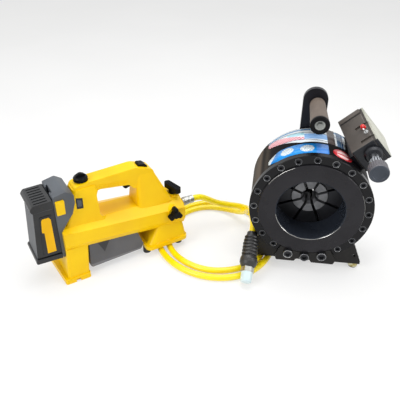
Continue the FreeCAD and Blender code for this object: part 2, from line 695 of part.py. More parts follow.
def make_knob():
    """Setting knob with a bevelled graduated skirt and a finely fluted grip."""
    bore = SLEEVE_RADIUS + RUNNING_FIT
    skirt = 9.0
    start = 30.0
    length = skirt + KNOB_LENGTH
    profile = [(bore, 0), (bore + 1, 0), (bore + 3, skirt), (KNOB_RADIUS, skirt + 2),
               (KNOB_RADIUS, length - 1.5), (KNOB_RADIUS - 1.5, length), (0, length),
               (0, SLEEVE_LENGTH - start + 0.4), (bore, SLEEVE_LENGTH - start + 0.4)]
    solid = turned(profile)
    flutes = []
    for i in range(KNOB_FLUTES):
        place = on_circle(KNOB_RADIUS + 0.7, 360 / KNOB_FLUTES * i, skirt + 5)
        flutes.append(rod(1.3, place, Y_AXIS, KNOB_LENGTH - 9))
    solid = holes(solid, flutes)
    solid.Placement = Placement(Vector(MICROMETER_OUT, BOX_FRONT - start, MICROMETER_RISE),
                                Rotation(Y_AXIS, -Y_AXIS))
    return to_box(solid)


def make_inlet():
    """Quick coupler nipple in the rear wall, where the pressure hose plugs on."""
    base = on_circle(86.0, 270, DRUM_END)
    profile = [(0, -13), (3.9, -13), (3.9, 0), (10, 0), (10, 4), (8.4, 4), (8.4, 16), (9.4, 18), (9.4, 23),
               (7.2, 27), (7.2, 34), (2.2, 34), (2.2, 30), (0, 30)]
    return turned(profile, base)


# Pump pieces are drawn with X along the pump (u), Y across it (v) and Z up (w).
PUMP_CENTRE = PUMP_WIDTH / 2
PUMP_FRAME = Placement(Vector(PUMP_X, PUMP_Y, 0), Rotation(Z_AXIS, PUMP_TURN))


def pump_place(shape):
    moved = shape.copy()
    moved.Placement = PUMP_FRAME.multiply(moved.Placement)
    return moved


def pump_point(u, v, w):
    return PUMP_FRAME.multVec(Vector(u, v, w))


def along_pump(u, left, right):
    """Height of an edge that runs from left to right over the body's length."""
    return left + (right - left) * (u - BODY_LEFT) / (BODY_RIGHT - BODY_LEFT)


def body_section(u, wall):
    """Eight sided section of the body at u, drawn inwards by the wall."""
    deck = along_pump(u, DECK_LEFT, DECK_RIGHT) - wall
    shoulder = along_pump(u, SHOULDER_LEFT, SHOULDER_RIGHT) - wall / 2
    sill = along_pump(u, SILL_LEFT, SILL_RIGHT) + wall / 2
    keel = sill - KEEL_DROP + wall / 2
    far = PUMP_WIDTH - wall
    across = [(wall + KEEL_INSET, keel), (far - KEEL_INSET, keel), (far, sill), (far, shoulder),
              (far - DECK_INSET, deck), (wall + DECK_INSET, deck), (wall, shoulder), (wall, sill),
              (wall + KEEL_INSET, keel)]
    return Part.makePolygon([Vector(u, v, w) for v, w in across])


def level_section(left, right, near, far, height, radius):
    corners = [(left, near, radius), (right, near, radius), (right, far, radius), (left, far, radius)]
    return rounded_outline(corners, lambda a, b: Vector(a, b, height))


def tower(low, high):
    """Moulded form between two level sections (left, right, near, far, height, radius)."""
    return Part.makeLoft([level_section(*low), level_section(*high)], True, True)


def make_beam(left=BODY_LEFT, right=BODY_RIGHT, wall=0.0):
    return Part.makeLoft([body_section(left, wall), body_section(right, wall)], True, True)


def adapter_outline():
    return [(0.5, 57, 2), (BODY_LEFT - 0.2, 57, 2), (BODY_LEFT - 0.2, 112), (16.8, 128), (31.5, 146.5),
            (38.5, 168), (38.5, 185, 4), (24, 195, 5), (0.5, 190, 3)]


def skirt_gussets():
    """Webs that stiffen the right foot's skirt against its tower, on both long sides."""
    top = SKIRT_CLEAR + SKIRT_THICK
    gussets = []
    for i in range(SKIRT_GUSSETS):
        u = 188 + 24 * i
        for edge, wall in ((-8, 12), (PUMP_WIDTH + 8, PUMP_WIDTH - 12)):
            web = Part.makePolygon([Vector(u, edge, top - 1), Vector(u, wall, top - 1), Vector(u, wall, top + 20),
                                    Vector(u, edge, top - 1)])
            gussets.append(Part.Face(web).extrude(Vector(GUSSET_THICK, 0, 0)))
    return gussets


def make_pump_housing():
    """Yellow moulded casing: beam, two feet, two posts and the carrying handle in one."""
    near = PUMP_CENTRE - HANDLE_WIDTH / 2
    solid = make_beam()
    solid = solid.fuse([
        tower((12, 96, 14, 78, 108, 8), (42, 88, 28, 64, HANDLE_TOP - 8, 8)),
        tower((164, 240, 16, 76, 104, 8), (168, 206, 30, 62, HANDLE_TOP - 14, 8)),
        side_form([(44, 150, 6), (44, HANDLE_TOP - 4, 8), (60, HANDLE_TOP, 20), (168, HANDLE_TOP + 4, 24),
                   (204, HANDLE_TOP - 8, 10), (212, 150, 6)], near, HANDLE_WIDTH),
        tower((0, 43, -1, 93, 12, 5), (BODY_LEFT, 50, 5, 87, 74, 5)),
        flat_form([(-6, -3, 4), (44, -3, 4), (44, 95, 4), (-12, 95, 4)], 0, 12),
        tower((172, 258, -5, 97, SKIRT_CLEAR + SKIRT_THICK, 10), (200, 254, 6, 86, 62, 8)),
        flat_form([(165, -10, 12), (259, -10, 12), (259, 102, 12), (165, 102, 12)], SKIRT_CLEAR, SKIRT_THICK),
        group(skirt_gussets()),
        rod(12, Vector(LOBE_U, -3, LOBE_W), Y_AXIS, 24),
        rod(13, Vector(LEVER_U, PUMP_CENTRE - 11, 95), Z_AXIS, 16),
        rod(11, Vector(BODY_RIGHT - 6, PORT_V, PORT_W - 6), X_AXIS, 10),
    ])
    hand_gap = side_form([(84, 118, 8), (84, 171, 10), (152, 161, 6), (163, 148, 10), (163, 112, 6)], -5, 102)
    trigger_slot = block((144, PUMP_CENTRE - 6, 150), (18.6, 12, 20))
    motor_room = make_beam(BODY_LEFT + 2 * HOUSING_WALL, BODY_RIGHT - 2.5 * HOUSING_WALL, HOUSING_WALL)
    vent_bore = rod(6.2, Vector(VENT_U, PUMP_CENTRE, HANDLE_TOP - 14), Z_AXIS, 30)
    foot_notch = block((14, -6, -1), (9, 8, 8))
    lobe_bore = rod(3.1, Vector(LOBE_U, -4, LOBE_W), Y_AXIS, 14)
    lever_bore = rod(4.2, Vector(LEVER_U, PUMP_CENTRE - 11, 98), Z_AXIS, 20)
    insert_seat = block((176, PUMP_CENTRE - 9, HANDLE_TOP - 5), (20, 18, 20))
    adapter_room = side_form(adapter_outline(), 8, PUMP_WIDTH - 16).makeOffsetShape(0.2, 0.01)
    slots = [block((43, -10, 150), (8, 45, 14)), block((43, PUMP_WIDTH - 35, 150), (8, 45, 14))]
    return holes(solid, [hand_gap, motor_room, trigger_slot, vent_bore, foot_notch, lobe_bore, lever_bore,
                         insert_seat, adapter_room] + slots)


def make_adapter():
    """Grey carrier behind the battery with its upright T groove and latch pockets."""
    solid = side_form(adapter_outline(), 12, PUMP_WIDTH - 24)
    low = RAIL_BOTTOM - 1
    neck = block((-1, PUMP_CENTRE - RAIL_WIDTH / 2 + 4 - BATTERY_PLAY, low),
                 (RAIL_DEEP - 2, RAIL_WIDTH - 8 + 2 * BATTERY_PLAY, 200))
    tee = block((RAIL_DEEP / 2 - BATTERY_PLAY, PUMP_CENTRE - RAIL_WIDTH / 2 - BATTERY_PLAY, low),
                (RAIL_DEEP / 2 + BATTERY_PLAY, RAIL_WIDTH + 2 * BATTERY_PLAY, 200))
    pockets = [latch_block(v, 0.25, 3.5) for v in (12, PUMP_WIDTH - 12)]
    return holes(solid, [neck, tee] + pockets)


def latch_block(side, play, extra):
    """Release latch on one side of the adapter; extra deepens it into a pocket."""
    inward = 1 if side < PUMP_CENTRE else -1
    corners = [(3 - play, 153 - play), (18 + play, 153 - play), (19 + play, 181 + play, 2),
               (3 - play, 181 + play, 2)]
    start = side - 4 if inward > 0 else side + 4
    solid = side_form(corners, 0, 8 + extra)
    solid.translate(Vector(0, start if inward > 0 else start - 8 - extra, 0))
    return solid


def make_battery():
    """Sliding battery pack: case, gripping lip, bumper and the T rail on its back."""
    near = PUMP_CENTRE - BATTERY_WIDTH / 2
    back = 0.5 - BATTERY_PLAY
    case = side_form([(back, 62), (back, 180), (-36, 178, 6), (-46, 62, 4)], near, BATTERY_WIDTH)
    lip = side_form([(back, 170), (back, 185, 2), (-36, 184, 5), (-42, 176, 4), (-38, 168, 4)],
                    near - 3, BATTERY_WIDTH + 6)
    bumper = side_form([(back, 56, 2), (back, 66, 2), (-48, 68, 4), (-50, 58, 4)],
                       near - 2.5, BATTERY_WIDTH + 5)
    neck = block((back - 0.5, PUMP_CENTRE - RAIL_WIDTH / 2 + 4, RAIL_BOTTOM),
                 (RAIL_DEEP / 2 + 1, RAIL_WIDTH - 8, RAIL_LENGTH))
    tee = block((RAIL_DEEP / 2, PUMP_CENTRE - RAIL_WIDTH / 2, RAIL_BOTTOM),
                (RAIL_DEEP / 2 - BATTERY_PLAY, RAIL_WIDTH, RAIL_LENGTH))
    pads = [side_form([(-6, 70, 3), (-6, 156, 3), (-28, 156, 3), (-34, 70, 3)], v, BATTERY_PAD_PROUD + 0.1)
            for v in (near - BATTERY_PAD_PROUD, near + BATTERY_WIDTH - 0.1)]
    pitch = BATTERY_WIDTH / BATTERY_RIBS
    ribs = [side_form([(-8, 182), (-8, 185 + BATTERY_RIB_RISE), (-32, 184.2 + BATTERY_RIB_RISE), (-34, 182)],
                      near + pitch * (i + 0.5) - 1.3, 2.6) for i in range(BATTERY_RIBS)]
    return case.fuse([lip, bumper, neck, tee] + pads + ribs)


def make_tank():
    """Oil tank hung under the body between the feet."""
    corners = [(52, 84), (142, 84), (150, 66, 4), (163, 29, 5), (157, 18, 4), (48, 14, 6)]
    solid = side_form(corners, TANK_INSET, PUMP_WIDTH - 2 * TANK_INSET)
    return solid.cut(make_beam())


def make_pump_pads():
    return group([rod(PAD_RADIUS, Vector(u, v, 0), Z_AXIS, SKIRT_CLEAR)
                  for u, v in ((173, 15), (245, 12), (188, 82))])


def make_vent_cap():
    """Filler and vent cap with a grip rib, turning on its plug."""
    top = HANDLE_TOP + 0.7
    disc = turned([(0, -10), (6.1, -10), (6.1, 0.4), (13.5, 0.4), (13.5, 6), (11.5, 8.5), (0, 8.5)],
                  Vector(VENT_U, PUMP_CENTRE, top), Z_AXIS)
    rib = side_form([(VENT_U - 10, top + 6), (VENT_U - 8, top + 12, 2), (VENT_U, top + 16, 6),
                     (VENT_U + 8, top + 12, 2), (VENT_U + 10, top + 6)], PUMP_CENTRE - 3, 6)
    return disc.fuse(rib)


def make_drive_unit():
    """Motor, reduction gear and pump block inside the body, along its length."""
    motor = rod(17, Vector(24, PUMP_CENTRE, 92), X_AXIS, 86)
    gear = rod(16.5, Vector(110, PUMP_CENTRE, 88), X_AXIS, 34)
    shaft = rod(4, Vector(16, PUMP_CENTRE, 92), X_AXIS, 8)
    pump = block((144, PUMP_CENTRE - 26, 67), (BODY_RIGHT - 2.5 * HOUSING_WALL - 0.3 - 144, 52, 27))
    return motor.fuse([gear, shaft, pump])


def make_trigger():
    """Finger trigger that rises into the underside of the handle."""
    return side_form([(144.3, 151, 2), (149, 148, 2), (161, 152, 2), (161, 160), (144.3, 160)],
                     PUMP_CENTRE - 5.7, 11.4)


def make_handle_insert():
    return side_form([(176.2, HANDLE_TOP - 4.8), (195.8, HANDLE_TOP - 4.8), (195.8, HANDLE_TOP - 2, 2),
                      (190, HANDLE_TOP + 3, 3), (178, HANDLE_TOP + 5, 2)], PUMP_CENTRE - 8.8, 17.6)


def make_valve_lever():
    """Two armed valve lever on its spindle, standing across the pump."""
    hub = turned([(0, -9), (4.1, -9), (4.1, 0.4), (9, 0.4), (9, 9), (0, 9)],
                 Vector(LEVER_U, PUMP_CENTRE - 11, 111), Z_AXIS)
    arm = flat_form([(across, along, 6.9) for across, along in
                     ((-7, -LEVER_REACH), (7, -LEVER_REACH), (7, LEVER_REACH), (-7, LEVER_REACH))], 0, 11)
    arm.Placement = Placement(Vector(LEVER_U, PUMP_CENTRE - 11, 118), Rotation(Z_AXIS, LEVER_TURN))
    return hub.fuse(arm)


def make_lobe_knob():
    """Three lobed release knob on the near side."""
    base = Vector(LOBE_U, -3.4, LOBE_W)
    lobes = [rod(5.2, base + on_circle(10.5, 90 + 120 * i), -Y_AXIS, 11) for i in range(3)]
    arms = [block((0, -11, -4), (10.5, 11, 8)) for i in range(3)]
    for i, arm in enumerate(arms):
        arm.Placement = Placement(base, Rotation(Y_AXIS, -(90 + 120 * i)))
    hub = rod(7.5, base, -Y_AXIS, 13)
    spindle = rod(3, base, Y_AXIS, 12)
    return hub.fuse(lobes + arms + [spindle])


def make_outlet():
    """Zinc coupling at the pump's pressure port."""
    base = Vector(BODY_RIGHT + 4, PORT_V, PORT_W)
    profile = [(0, 0), (8, 0), (8, 3), (9, 3.5), (9, 12), (8, 13), (8, 15), (0, 15)]
    return turned(profile, base, X_AXIS)


def make_hose_ferrule():
    base = Vector(BODY_RIGHT + 19, PORT_V, PORT_W)
    half = FERRULE_DIAMETER / 2 - 1
    return turned([(0, 0), (7.4, 0), (half, 1.5), (half, 10), (7.2, 11), (0, 11)], base, X_AXIS)


HOSE_START = pump_point(BODY_RIGHT + 30, PORT_V, PORT_W)
PORT_WAY = Rotation(Z_AXIS, PUMP_TURN).multVec(X_AXIS)
END_TOP = Vector(-104.3, 17.3, 70)
END_TIP = Vector(-108.8, -67.5, 13.5)
END_WAY = (END_TIP - END_TOP).normalize()

# The hose leaves the pump's port, crosses over its own turns, lies in two loose turns
# and rises over the head's left ear into the bend protector of its free end.
HOSE_ROUTE = [
    (-210, 112.5, 86), (-190, 125.5, 77.5), (-168, 137, 66.5), (-145, 147, 55.5), (-120, 150.5, 44.5),
    (-96, 144, 32.5), (-76, 127.5, 18), (-65, 103, 7.4), (-62, 75, 6.5), (-64.5, 46, 6.5),
    (-71.5, 17, 6.5), (-87, -11, 6.5), (-107, -33, 6.5), (-132, -48, 6.5), (-161, -55, 6.5),
    (-191, -55, 6.5), (-221, -47, 6.5), (-249, -32, 6.5), (-274, -10, 6.5), (-294, 18, 6.5),
    (-306, 50, 6.5), (-310, 86, 6.5), (-304, 121, 6.5), (-288, 153, 6.5), (-264, 181, 6.5),
    (-234, 201, 6.5), (-200, 209, 6.5), (-165, 205, 6.5), (-133, 190, 6.5), (-108, 167, 6.5),
    (-92, 137, 6.5), (-83, 105, 6.5), (-80, 72, 6.5), (-81.5, 38, 6.5), (-90, 9, 6.5),
    (-115.5, -16, 6.5), (-148, -31, 6.5), (-180, -36, 6.5), (-211, -30, 6.5), (-240, -15, 6.5),
    (-264, 8, 6.5), (-281, 37, 6.5), (-290, 70, 6.5), (-289, 104, 6.5), (-278, 136, 6.5),
    (-259, 163, 6.5), (-233, 182, 6.5), (-203, 188, 6.5), (-175, 182, 8.5), (-152, 168, 14.5),
    (-135, 149.5, 26), (-124.5, 132, 41), (-117.8, 115.5, 58), (-113.5, 98, 73), (-111.3, 78, 83.5),
    (-108.8, 57, 87.3)
]
HOSE_LEAVE = 16.0
HOSE_ARRIVE = 22.0


def tube_path(points):
    """Straight runs joined by tangent arcs; prints the smallest arc."""
    edges = []
    smallest = 1e9
    leave = points[0]
    for index in range(1, len(points) - 1):
        before, here, after = points[index - 1:index + 2]
        back = (before - here)
        ahead = (after - here)
        shorter = min(back.Length, ahead.Length)
        back = back.normalize()
        ahead = ahead.normalize()
        reach = 0.45 * shorter
        half = back.getAngle(ahead) / 2
        radius = reach * math.tan(half)
        smallest = min(smallest, radius)
        start = here + back * reach
        end = here + ahead * reach
        inward = (back + ahead).normalize()
        middle = here + inward * (radius / math.sin(half) - radius)
        edges.append(Part.makeLine(leave, start))
        edges.append(Part.Arc(start, middle, end).toShape())
        leave = end
    edges.append(Part.makeLine(leave, points[-1]))
    wire = Part.Wire(edges)
    print("hose length", round(wire.Length), "smallest arc", round(smallest, 1))
    return wire


def make_hose():
    points = [HOSE_START, HOSE_START + PORT_WAY * HOSE_LEAVE] + [Vector(*point) for point in HOSE_ROUTE]
    points += [END_TOP - END_WAY * HOSE_ARRIVE, END_TOP]
    wire = tube_path(points)
    circle = Part.Wire(Part.makeCircle(HOSE_DIAMETER / 2, points[0], points[1] - points[0]))
    tube = wire.makePipeShell([circle], True, False)
    section = math.pi * HOSE_DIAMETER ** 2 / 4
    print("hose volume share", round(tube.Volume / section / wire.Length, 4))
    return tube


def make_protector():
    """Ribbed rubber bend protector that ends in a bulb over the hose fitting."""
    half = PROTECTOR_DIAMETER / 2
    neck = HOSE_DIAMETER / 2 + 3.5
    profile = [(0, 0), (neck - 0.8, 0), (neck, 1), (neck + 1, 9)]
    pitch = (PROTECTOR_LENGTH - 31) / PROTECTOR_RIBS
    for rib in range(PROTECTOR_RIBS):
        start = 9 + rib * pitch
        crest = half - 3 + 1.5 * min(rib, 2) / 2
        profile += [(crest - 0.6, start + 0.5), (crest, start + pitch * 0.3), (crest - 0.4, start + pitch * 0.68),
                    (crest - 2.4, start + pitch * 0.76), (crest - 2.2, start + pitch)]
    bulb = PROTECTOR_LENGTH - 22
    profile += [(half - 1, bulb + 2), (half, bulb + 7), (half, bulb + 13), (half - 2, bulb + 18),
                (half - 4.5, PROTECTOR_LENGTH), (0, PROTECTOR_LENGTH)]
    return turned(profile, END_TOP, END_WAY)


def make_end_fitting():
    base = END_TOP + END_WAY * PROTECTOR_LENGTH
    nut = hexagon(HEX_WIDTH, base, END_WAY, HEX_LENGTH)
    thread = rod(6.5, base + END_WAY * HEX_LENGTH, END_WAY, CAP_LENGTH - 6)
    return nut.fuse(thread)


def make_thread_cap():
    half = CAP_DIAMETER / 2
    profile = [(6.6, 0), (half, 0), (half - 0.8, CAP_LENGTH - 2), (half - 2.5, CAP_LENGTH), (0, CAP_LENGTH),
               (0, CAP_LENGTH - 5), (6.6, CAP_LENGTH - 5)]
    return turned(profile, END_TOP + END_WAY * (PROTECTOR_LENGTH + HEX_LENGTH), END_WAY)


parts["front_cover"] = lift(make_front_cover())
parts["cylinder_drum"] = lift(make_drum())
parts["cover_screws"] = lift(group(make_cover_screws() + make_base_screws()))
parts["piston_cone"] = lift(make_piston())
parts["piston_seals"] = lift(make_piston_seals())
parts["hub_seal"] = lift(make_hub_seal())
parts["return_springs"] = lift(make_return_springs())
master = make_master_die()
segment = make_die_segment()
for number in range(DIE_COUNT):
    parts["master_die_%d" % (number + 1)] = lift(place_die(master, number))
    parts["die_segment_%d" % (number + 1)] = lift(place_die(segment, number))
parts["front_tab_plate"] = lift(make_front_tab())
parts["front_saddle_plate"] = lift(make_saddle(FLANGE_BACK, 1))
parts["rear_saddle_plate"] = lift(make_saddle(REAR_PLATE_Y, -1))
parts["rubber_feet"] = group([lift(make_head_feet()), pump_place(make_pump_pads())])
parts["handle_plate"] = lift(make_handle_plate())
parts["bracket_screws"] = lift(group(make_foot_screws() + make_handle_screws()))
parts["handle_grip"] = lift(make_grip())
parts["grip_end_ring"] = lift(make_grip_ring())
parts["handle_bolt"] = lift(make_handle_bolt())
parts["box_saddle"] = lift(make_box_saddle())
parts["control_box"] = lift(make_control_box())
parts["box_lid"] = lift(make_box_lid())
parts["pressure_lamp"] = lift(make_lamp())
parts["toggle_bush"] = lift(make_toggle_bush())
parts["toggle_lever"] = lift(make_toggle_lever())
parts["micrometer_boss"] = lift(make_boss())
parts["micrometer_sleeve"] = lift(make_sleeve())
parts["micrometer_knob"] = lift(make_knob())
parts["inlet_coupler"] = lift(make_inlet())

parts["pump_housing"] = pump_place(make_pump_housing())
parts["motor_adapter"] = pump_place(make_adapter())
parts["battery_pack"] = pump_place(make_battery())
parts["battery_latch_near"] = pump_place(latch_block(12, 0, 0))
parts["battery_latch_far"] = pump_place(latch_block(PUMP_WIDTH - 12, 0, 0))
parts["oil_tank"] = pump_place(make_tank())
parts["drive_unit"] = pump_place(make_drive_unit())
parts["vent_cap"] = pump_place(make_vent_cap())
parts["pump_trigger"] = pump_place(make_trigger())
parts["handle_insert"] = pump_place(make_handle_insert())
parts["valve_lever"] = pump_place(make_valve_lever())
parts["lobe_knob"] = pump_place(make_lobe_knob())
parts["outlet_coupling"] = pump_place(make_outlet())
parts["hose_ferrule"] = pump_place(make_hose_ferrule())
parts["hose"] = make_hose()
parts["bend_protector"] = make_protector()
parts["hose_end_fitting"] = make_end_fitting()
parts["thread_cap"] = make_thread_cap()

CORD_NODES = ("hose", "hose_ferrule", "bend_protector", "hose_end_fitting", "thread_cap")

# The origin lies under the middle of everything but the hose and the pieces on it.
span = Part.makeCompound([shape for name, shape in parts.items() if name not in CORD_NODES]).BoundBox
SHIFT = Vector(-(span.XMin + span.XMax) / 2, -(span.YMin + span.YMax) / 2, -span.ZMin)

os.makedirs("parts", exist_ok=True)
for name, shape in parts.items():
    shape.translate(SHIFT)
    shape.exportStep("parts/%s.step" % name)
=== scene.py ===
import math

import bmesh
import bpy
from mathutils import Matrix, Vector


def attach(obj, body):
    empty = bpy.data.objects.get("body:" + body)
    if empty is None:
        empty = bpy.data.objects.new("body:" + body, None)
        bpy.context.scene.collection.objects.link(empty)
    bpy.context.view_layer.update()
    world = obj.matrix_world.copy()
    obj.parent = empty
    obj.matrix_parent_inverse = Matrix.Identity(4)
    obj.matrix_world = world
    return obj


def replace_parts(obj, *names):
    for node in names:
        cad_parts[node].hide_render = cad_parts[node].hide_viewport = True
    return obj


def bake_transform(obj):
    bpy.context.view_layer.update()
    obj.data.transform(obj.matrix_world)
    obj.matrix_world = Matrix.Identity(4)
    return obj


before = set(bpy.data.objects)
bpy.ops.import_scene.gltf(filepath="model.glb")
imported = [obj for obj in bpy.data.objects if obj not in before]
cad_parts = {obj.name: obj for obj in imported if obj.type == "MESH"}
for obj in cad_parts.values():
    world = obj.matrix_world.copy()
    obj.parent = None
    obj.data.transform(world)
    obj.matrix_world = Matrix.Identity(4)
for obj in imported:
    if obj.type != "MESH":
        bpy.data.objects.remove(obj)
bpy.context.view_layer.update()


# Hydraulic hose, 13 mm over its cover: it leaves the pump's port, crosses its own turns,
# lies in two loose turns and rises over the head's left ear to its free end.
# Smooth extruded yellow polyurethane, a little glossy, with faint drifts of tone.
def linear(text):
    """sRGB hex to the linear colour that the shaders take."""
    values = [int(text[i:i + 2], 16) / 255 for i in (1, 3, 5)]
    return [v / 12.92 if v <= 0.04045 else ((v + 0.055) / 1.055) ** 2.4 for v in values] + [1.0]


def add(tree, kind, inputs=None, ramp=None, **settings):
    """One node with its settings; an input takes a value or another node's output."""
    node = tree.nodes.new(kind)
    for name, value in settings.items():
        setattr(node, name, value)
    for name, value in (inputs or {}).items():
        if isinstance(value, bpy.types.NodeSocket):
            tree.links.new(value, node.inputs[name])
        else:
            node.inputs[name].default_value = value
    if ramp:
        while len(node.color_ramp.elements) < len(ramp):
            node.color_ramp.elements.new(0.5)
        for element, (place, colour) in zip(node.color_ramp.elements, ramp):
            element.position = place
            element.color = colour
    return node


def empty_material(name):
    made = bpy.data.materials.new(name)
    made.use_nodes = True
    made.node_tree.nodes.clear()
    return made, made.node_tree


def finish_surface(tree, colour, roughness, bump=None, **shader):
    """Ends a tree in its shader; bump is (height output, distance in metres)."""
    inputs = {"Base Color": colour, "Roughness": roughness}
    if bump:
        height, distance = bump
        relief = add(tree, "ShaderNodeBump", {"Height": height, "Distance": distance})
        inputs["Normal"] = relief.outputs["Normal"]
    inputs.update({name.replace("_", " "): value for name, value in shader.items()})
    surface = add(tree, "ShaderNodeBsdfPrincipled", inputs)
    add(tree, "ShaderNodeOutputMaterial", {"Surface": surface.outputs["BSDF"]})


def drifting_tone(tree, drift, tones, spread=(0.35, 0.65)):
    """Colour that wanders with the drift from the first of two sRGB tones to the second."""
    stops = [(place, linear(tone)) for place, tone in zip(spread, tones)]
    return add(tree, "ShaderNodeValToRGB", {"Fac": drift}, stops).outputs["Color"]


def drifting_gloss(tree, drift, roughness):
    """Roughness that wanders with the drift between two values."""
    low, high = roughness
    return add(tree, "ShaderNodeMapRange", {"Value": drift, "From Min": 0.3, "From Max": 0.7,
                                            "To Min": low, "To Max": high}).outputs["Result"]


def moulded(name, tones, grain_mm, roughness, relief_mm, **shader):
    """Surface with slow drifts of tone and a fine grain: tones run dark to light."""
    made, tree = empty_material(name)
    place = add(tree, "ShaderNodeTexCoord").outputs["Object"]
    drift = add(tree, "ShaderNodeTexNoise", {"Vector": place, "Scale": 18.0, "Detail": 3.0})
    grain = add(tree, "ShaderNodeTexNoise", {"Vector": place, "Scale": 1000.0 / grain_mm, "Detail": 2.0})
    colour = drifting_tone(tree, drift.outputs["Fac"], tones)
    gloss = drifting_gloss(tree, drift.outputs["Fac"], roughness)
    finish_surface(tree, colour, gloss, (grain.outputs["Fac"], relief_mm / 1000), **shader)
    return made


hose_cover = moulded("extruded_yellow_polyurethane", ("#fddc00", "#ffe90c"), 3.0, (0.24, 0.34), 0.01,
                     Coat_Weight=0.25, Coat_Roughness=0.12)
# Where the head's own origin, on the floor under its front, lies in the shared frame.
shift = Vector((0.2037048, -0.0158889, 0.0))
pump_turn = math.radians(39)
port = Vector((-0.2360977, 0.0915643, 0.090)) + shift
port_way = Vector((math.cos(pump_turn), math.sin(pump_turn), 0))
end_top = Vector((-0.1043, 0.0173, 0.070)) + shift
end_way = (Vector((-0.1088, -0.0675, 0.0135)) + shift - end_top).normalized()
# Centre line in millimetres from the head's origin.
hose_route = [
    (-210, 112, 79), (-190, 125, 62), (-168, 136.5, 51), (-145, 147, 44), (-120, 151, 36),
    (-96, 144, 26), (-76, 127.5, 15), (-65, 103, 7.2), (-62, 75, 6.5), (-64.5, 46, 6.5),
    (-71.5, 17, 6.5), (-87, -11, 6.5), (-107, -33, 6.5), (-132, -48, 6.5), (-161, -55, 6.5),
    (-191, -55, 6.5), (-221, -47, 6.5), (-249, -32, 6.5), (-274, -10, 6.5), (-294, 18, 6.5),
    (-306, 50, 6.5), (-310, 86, 6.5), (-304, 121, 6.5), (-288, 153, 6.5), (-264, 181, 6.5),
    (-234, 201, 6.5), (-200, 209, 6.5), (-165, 205, 6.5), (-133, 190, 6.5), (-108, 167, 6.5),
    (-92, 137, 6.5), (-83, 105, 6.5), (-80, 72, 6.5), (-81.5, 38, 6.5), (-90, 9, 6.5),
    (-115.5, -16, 6.5), (-148, -31, 6.5), (-180, -36, 6.5), (-211, -30, 6.5), (-240, -15, 6.5),
    (-264, 8, 6.5), (-281, 37, 6.5), (-290, 70, 6.5), (-289, 104, 6.5), (-278, 136, 6.5),
    (-259, 163, 6.5), (-233, 182, 6.5), (-203, 188, 6.5), (-175, 182, 8.5), (-152, 168, 14.5),
    (-135, 149.5, 26), (-124.5, 132, 41), (-117.8, 115.5, 58), (-113.5, 98, 73), (-111.3, 78, 83.5),
    (-108.8, 57, 87.3)]
straight_out, straight_in, hose_radius = 0.016, 0.022, 0.0065
points = [port, port + port_way * straight_out]
points += [Vector(point) / 1000 + shift for point in hose_route]
points += [end_top - end_way * straight_in, end_top]
curve = bpy.data.curves.new("pressure_hose", "CURVE")
curve.dimensions = "3D"
spline = curve.splines.new("NURBS")
spline.points.add(len(points) - 1)
for control, point in zip(spline.points, points):
    control.co = (*point, 1)
spline.order_u = 3
spline.use_endpoint_u = True
spline.resolution_u = 6
curve.bevel_depth = hose_radius
curve.bevel_resolution = 5
curve.use_fill_caps = True
pressure_hose = bpy.data.objects.new("pressure_hose", curve)
bpy.context.scene.collection.objects.link(pressure_hose)
curve.materials.append(hose_cover)
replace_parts(pressure_hose, "hose")
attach(pressure_hose, "set_frame")


# Floor: one sheet of pale paper that shows nearly white and keeps the set's shadow. The room
# behind it shows the same white.
sheet = bpy.data.meshes.new("studio_floor")
sheet.from_pydata([(-6, -6, 0), (6, -6, 0), (6, 6, 0), (-6, 6, 0)], [], [(0, 1, 2, 3)])
studio_floor = bpy.data.objects.new("studio_floor", sheet)
bpy.context.scene.collection.objects.link(studio_floor)


def shown(tree):
    """1 for rays that show the background: the camera's, and those off metal or through glass."""
    ray = add(tree, "ShaderNodeLightPath").outputs
    mirrored = add(tree, "ShaderNodeMath", {0: ray["Is Camera Ray"], 1: ray["Is Glossy Ray"]},
                   operation="MAXIMUM")
    return add(tree, "ShaderNodeMath", {0: mirrored.outputs["Value"], 1: ray["Is Transmission Ray"]},
               operation="MAXIMUM").outputs["Value"]


pale, tree = empty_material("pale_studio_paper")
speck = add(tree, "ShaderNodeTexNoise", {"Scale": 30.0})
tone = drifting_tone(tree, speck.outputs["Fac"], ("#f4f4f3", "#f7f7f6"), (0.4, 0.6))
paper = add(tree, "ShaderNodeBsdfDiffuse", {"Color": tone})
glow = add(tree, "ShaderNodeEmission", {"Color": (1, 1, 1, 1), "Strength": 1.0})
share = add(tree, "ShaderNodeMath", {0: shown(tree), 1: 0.55}, operation="MULTIPLY")
seen = add(tree, "ShaderNodeMixShader", {"Fac": share.outputs["Value"]})
tree.links.new(paper.outputs["BSDF"], seen.inputs[1])
tree.links.new(glow.outputs["Emission"], seen.inputs[2])
add(tree, "ShaderNodeOutputMaterial", {"Surface": seen.outputs["Shader"]})
sheet.materials.append(pale)


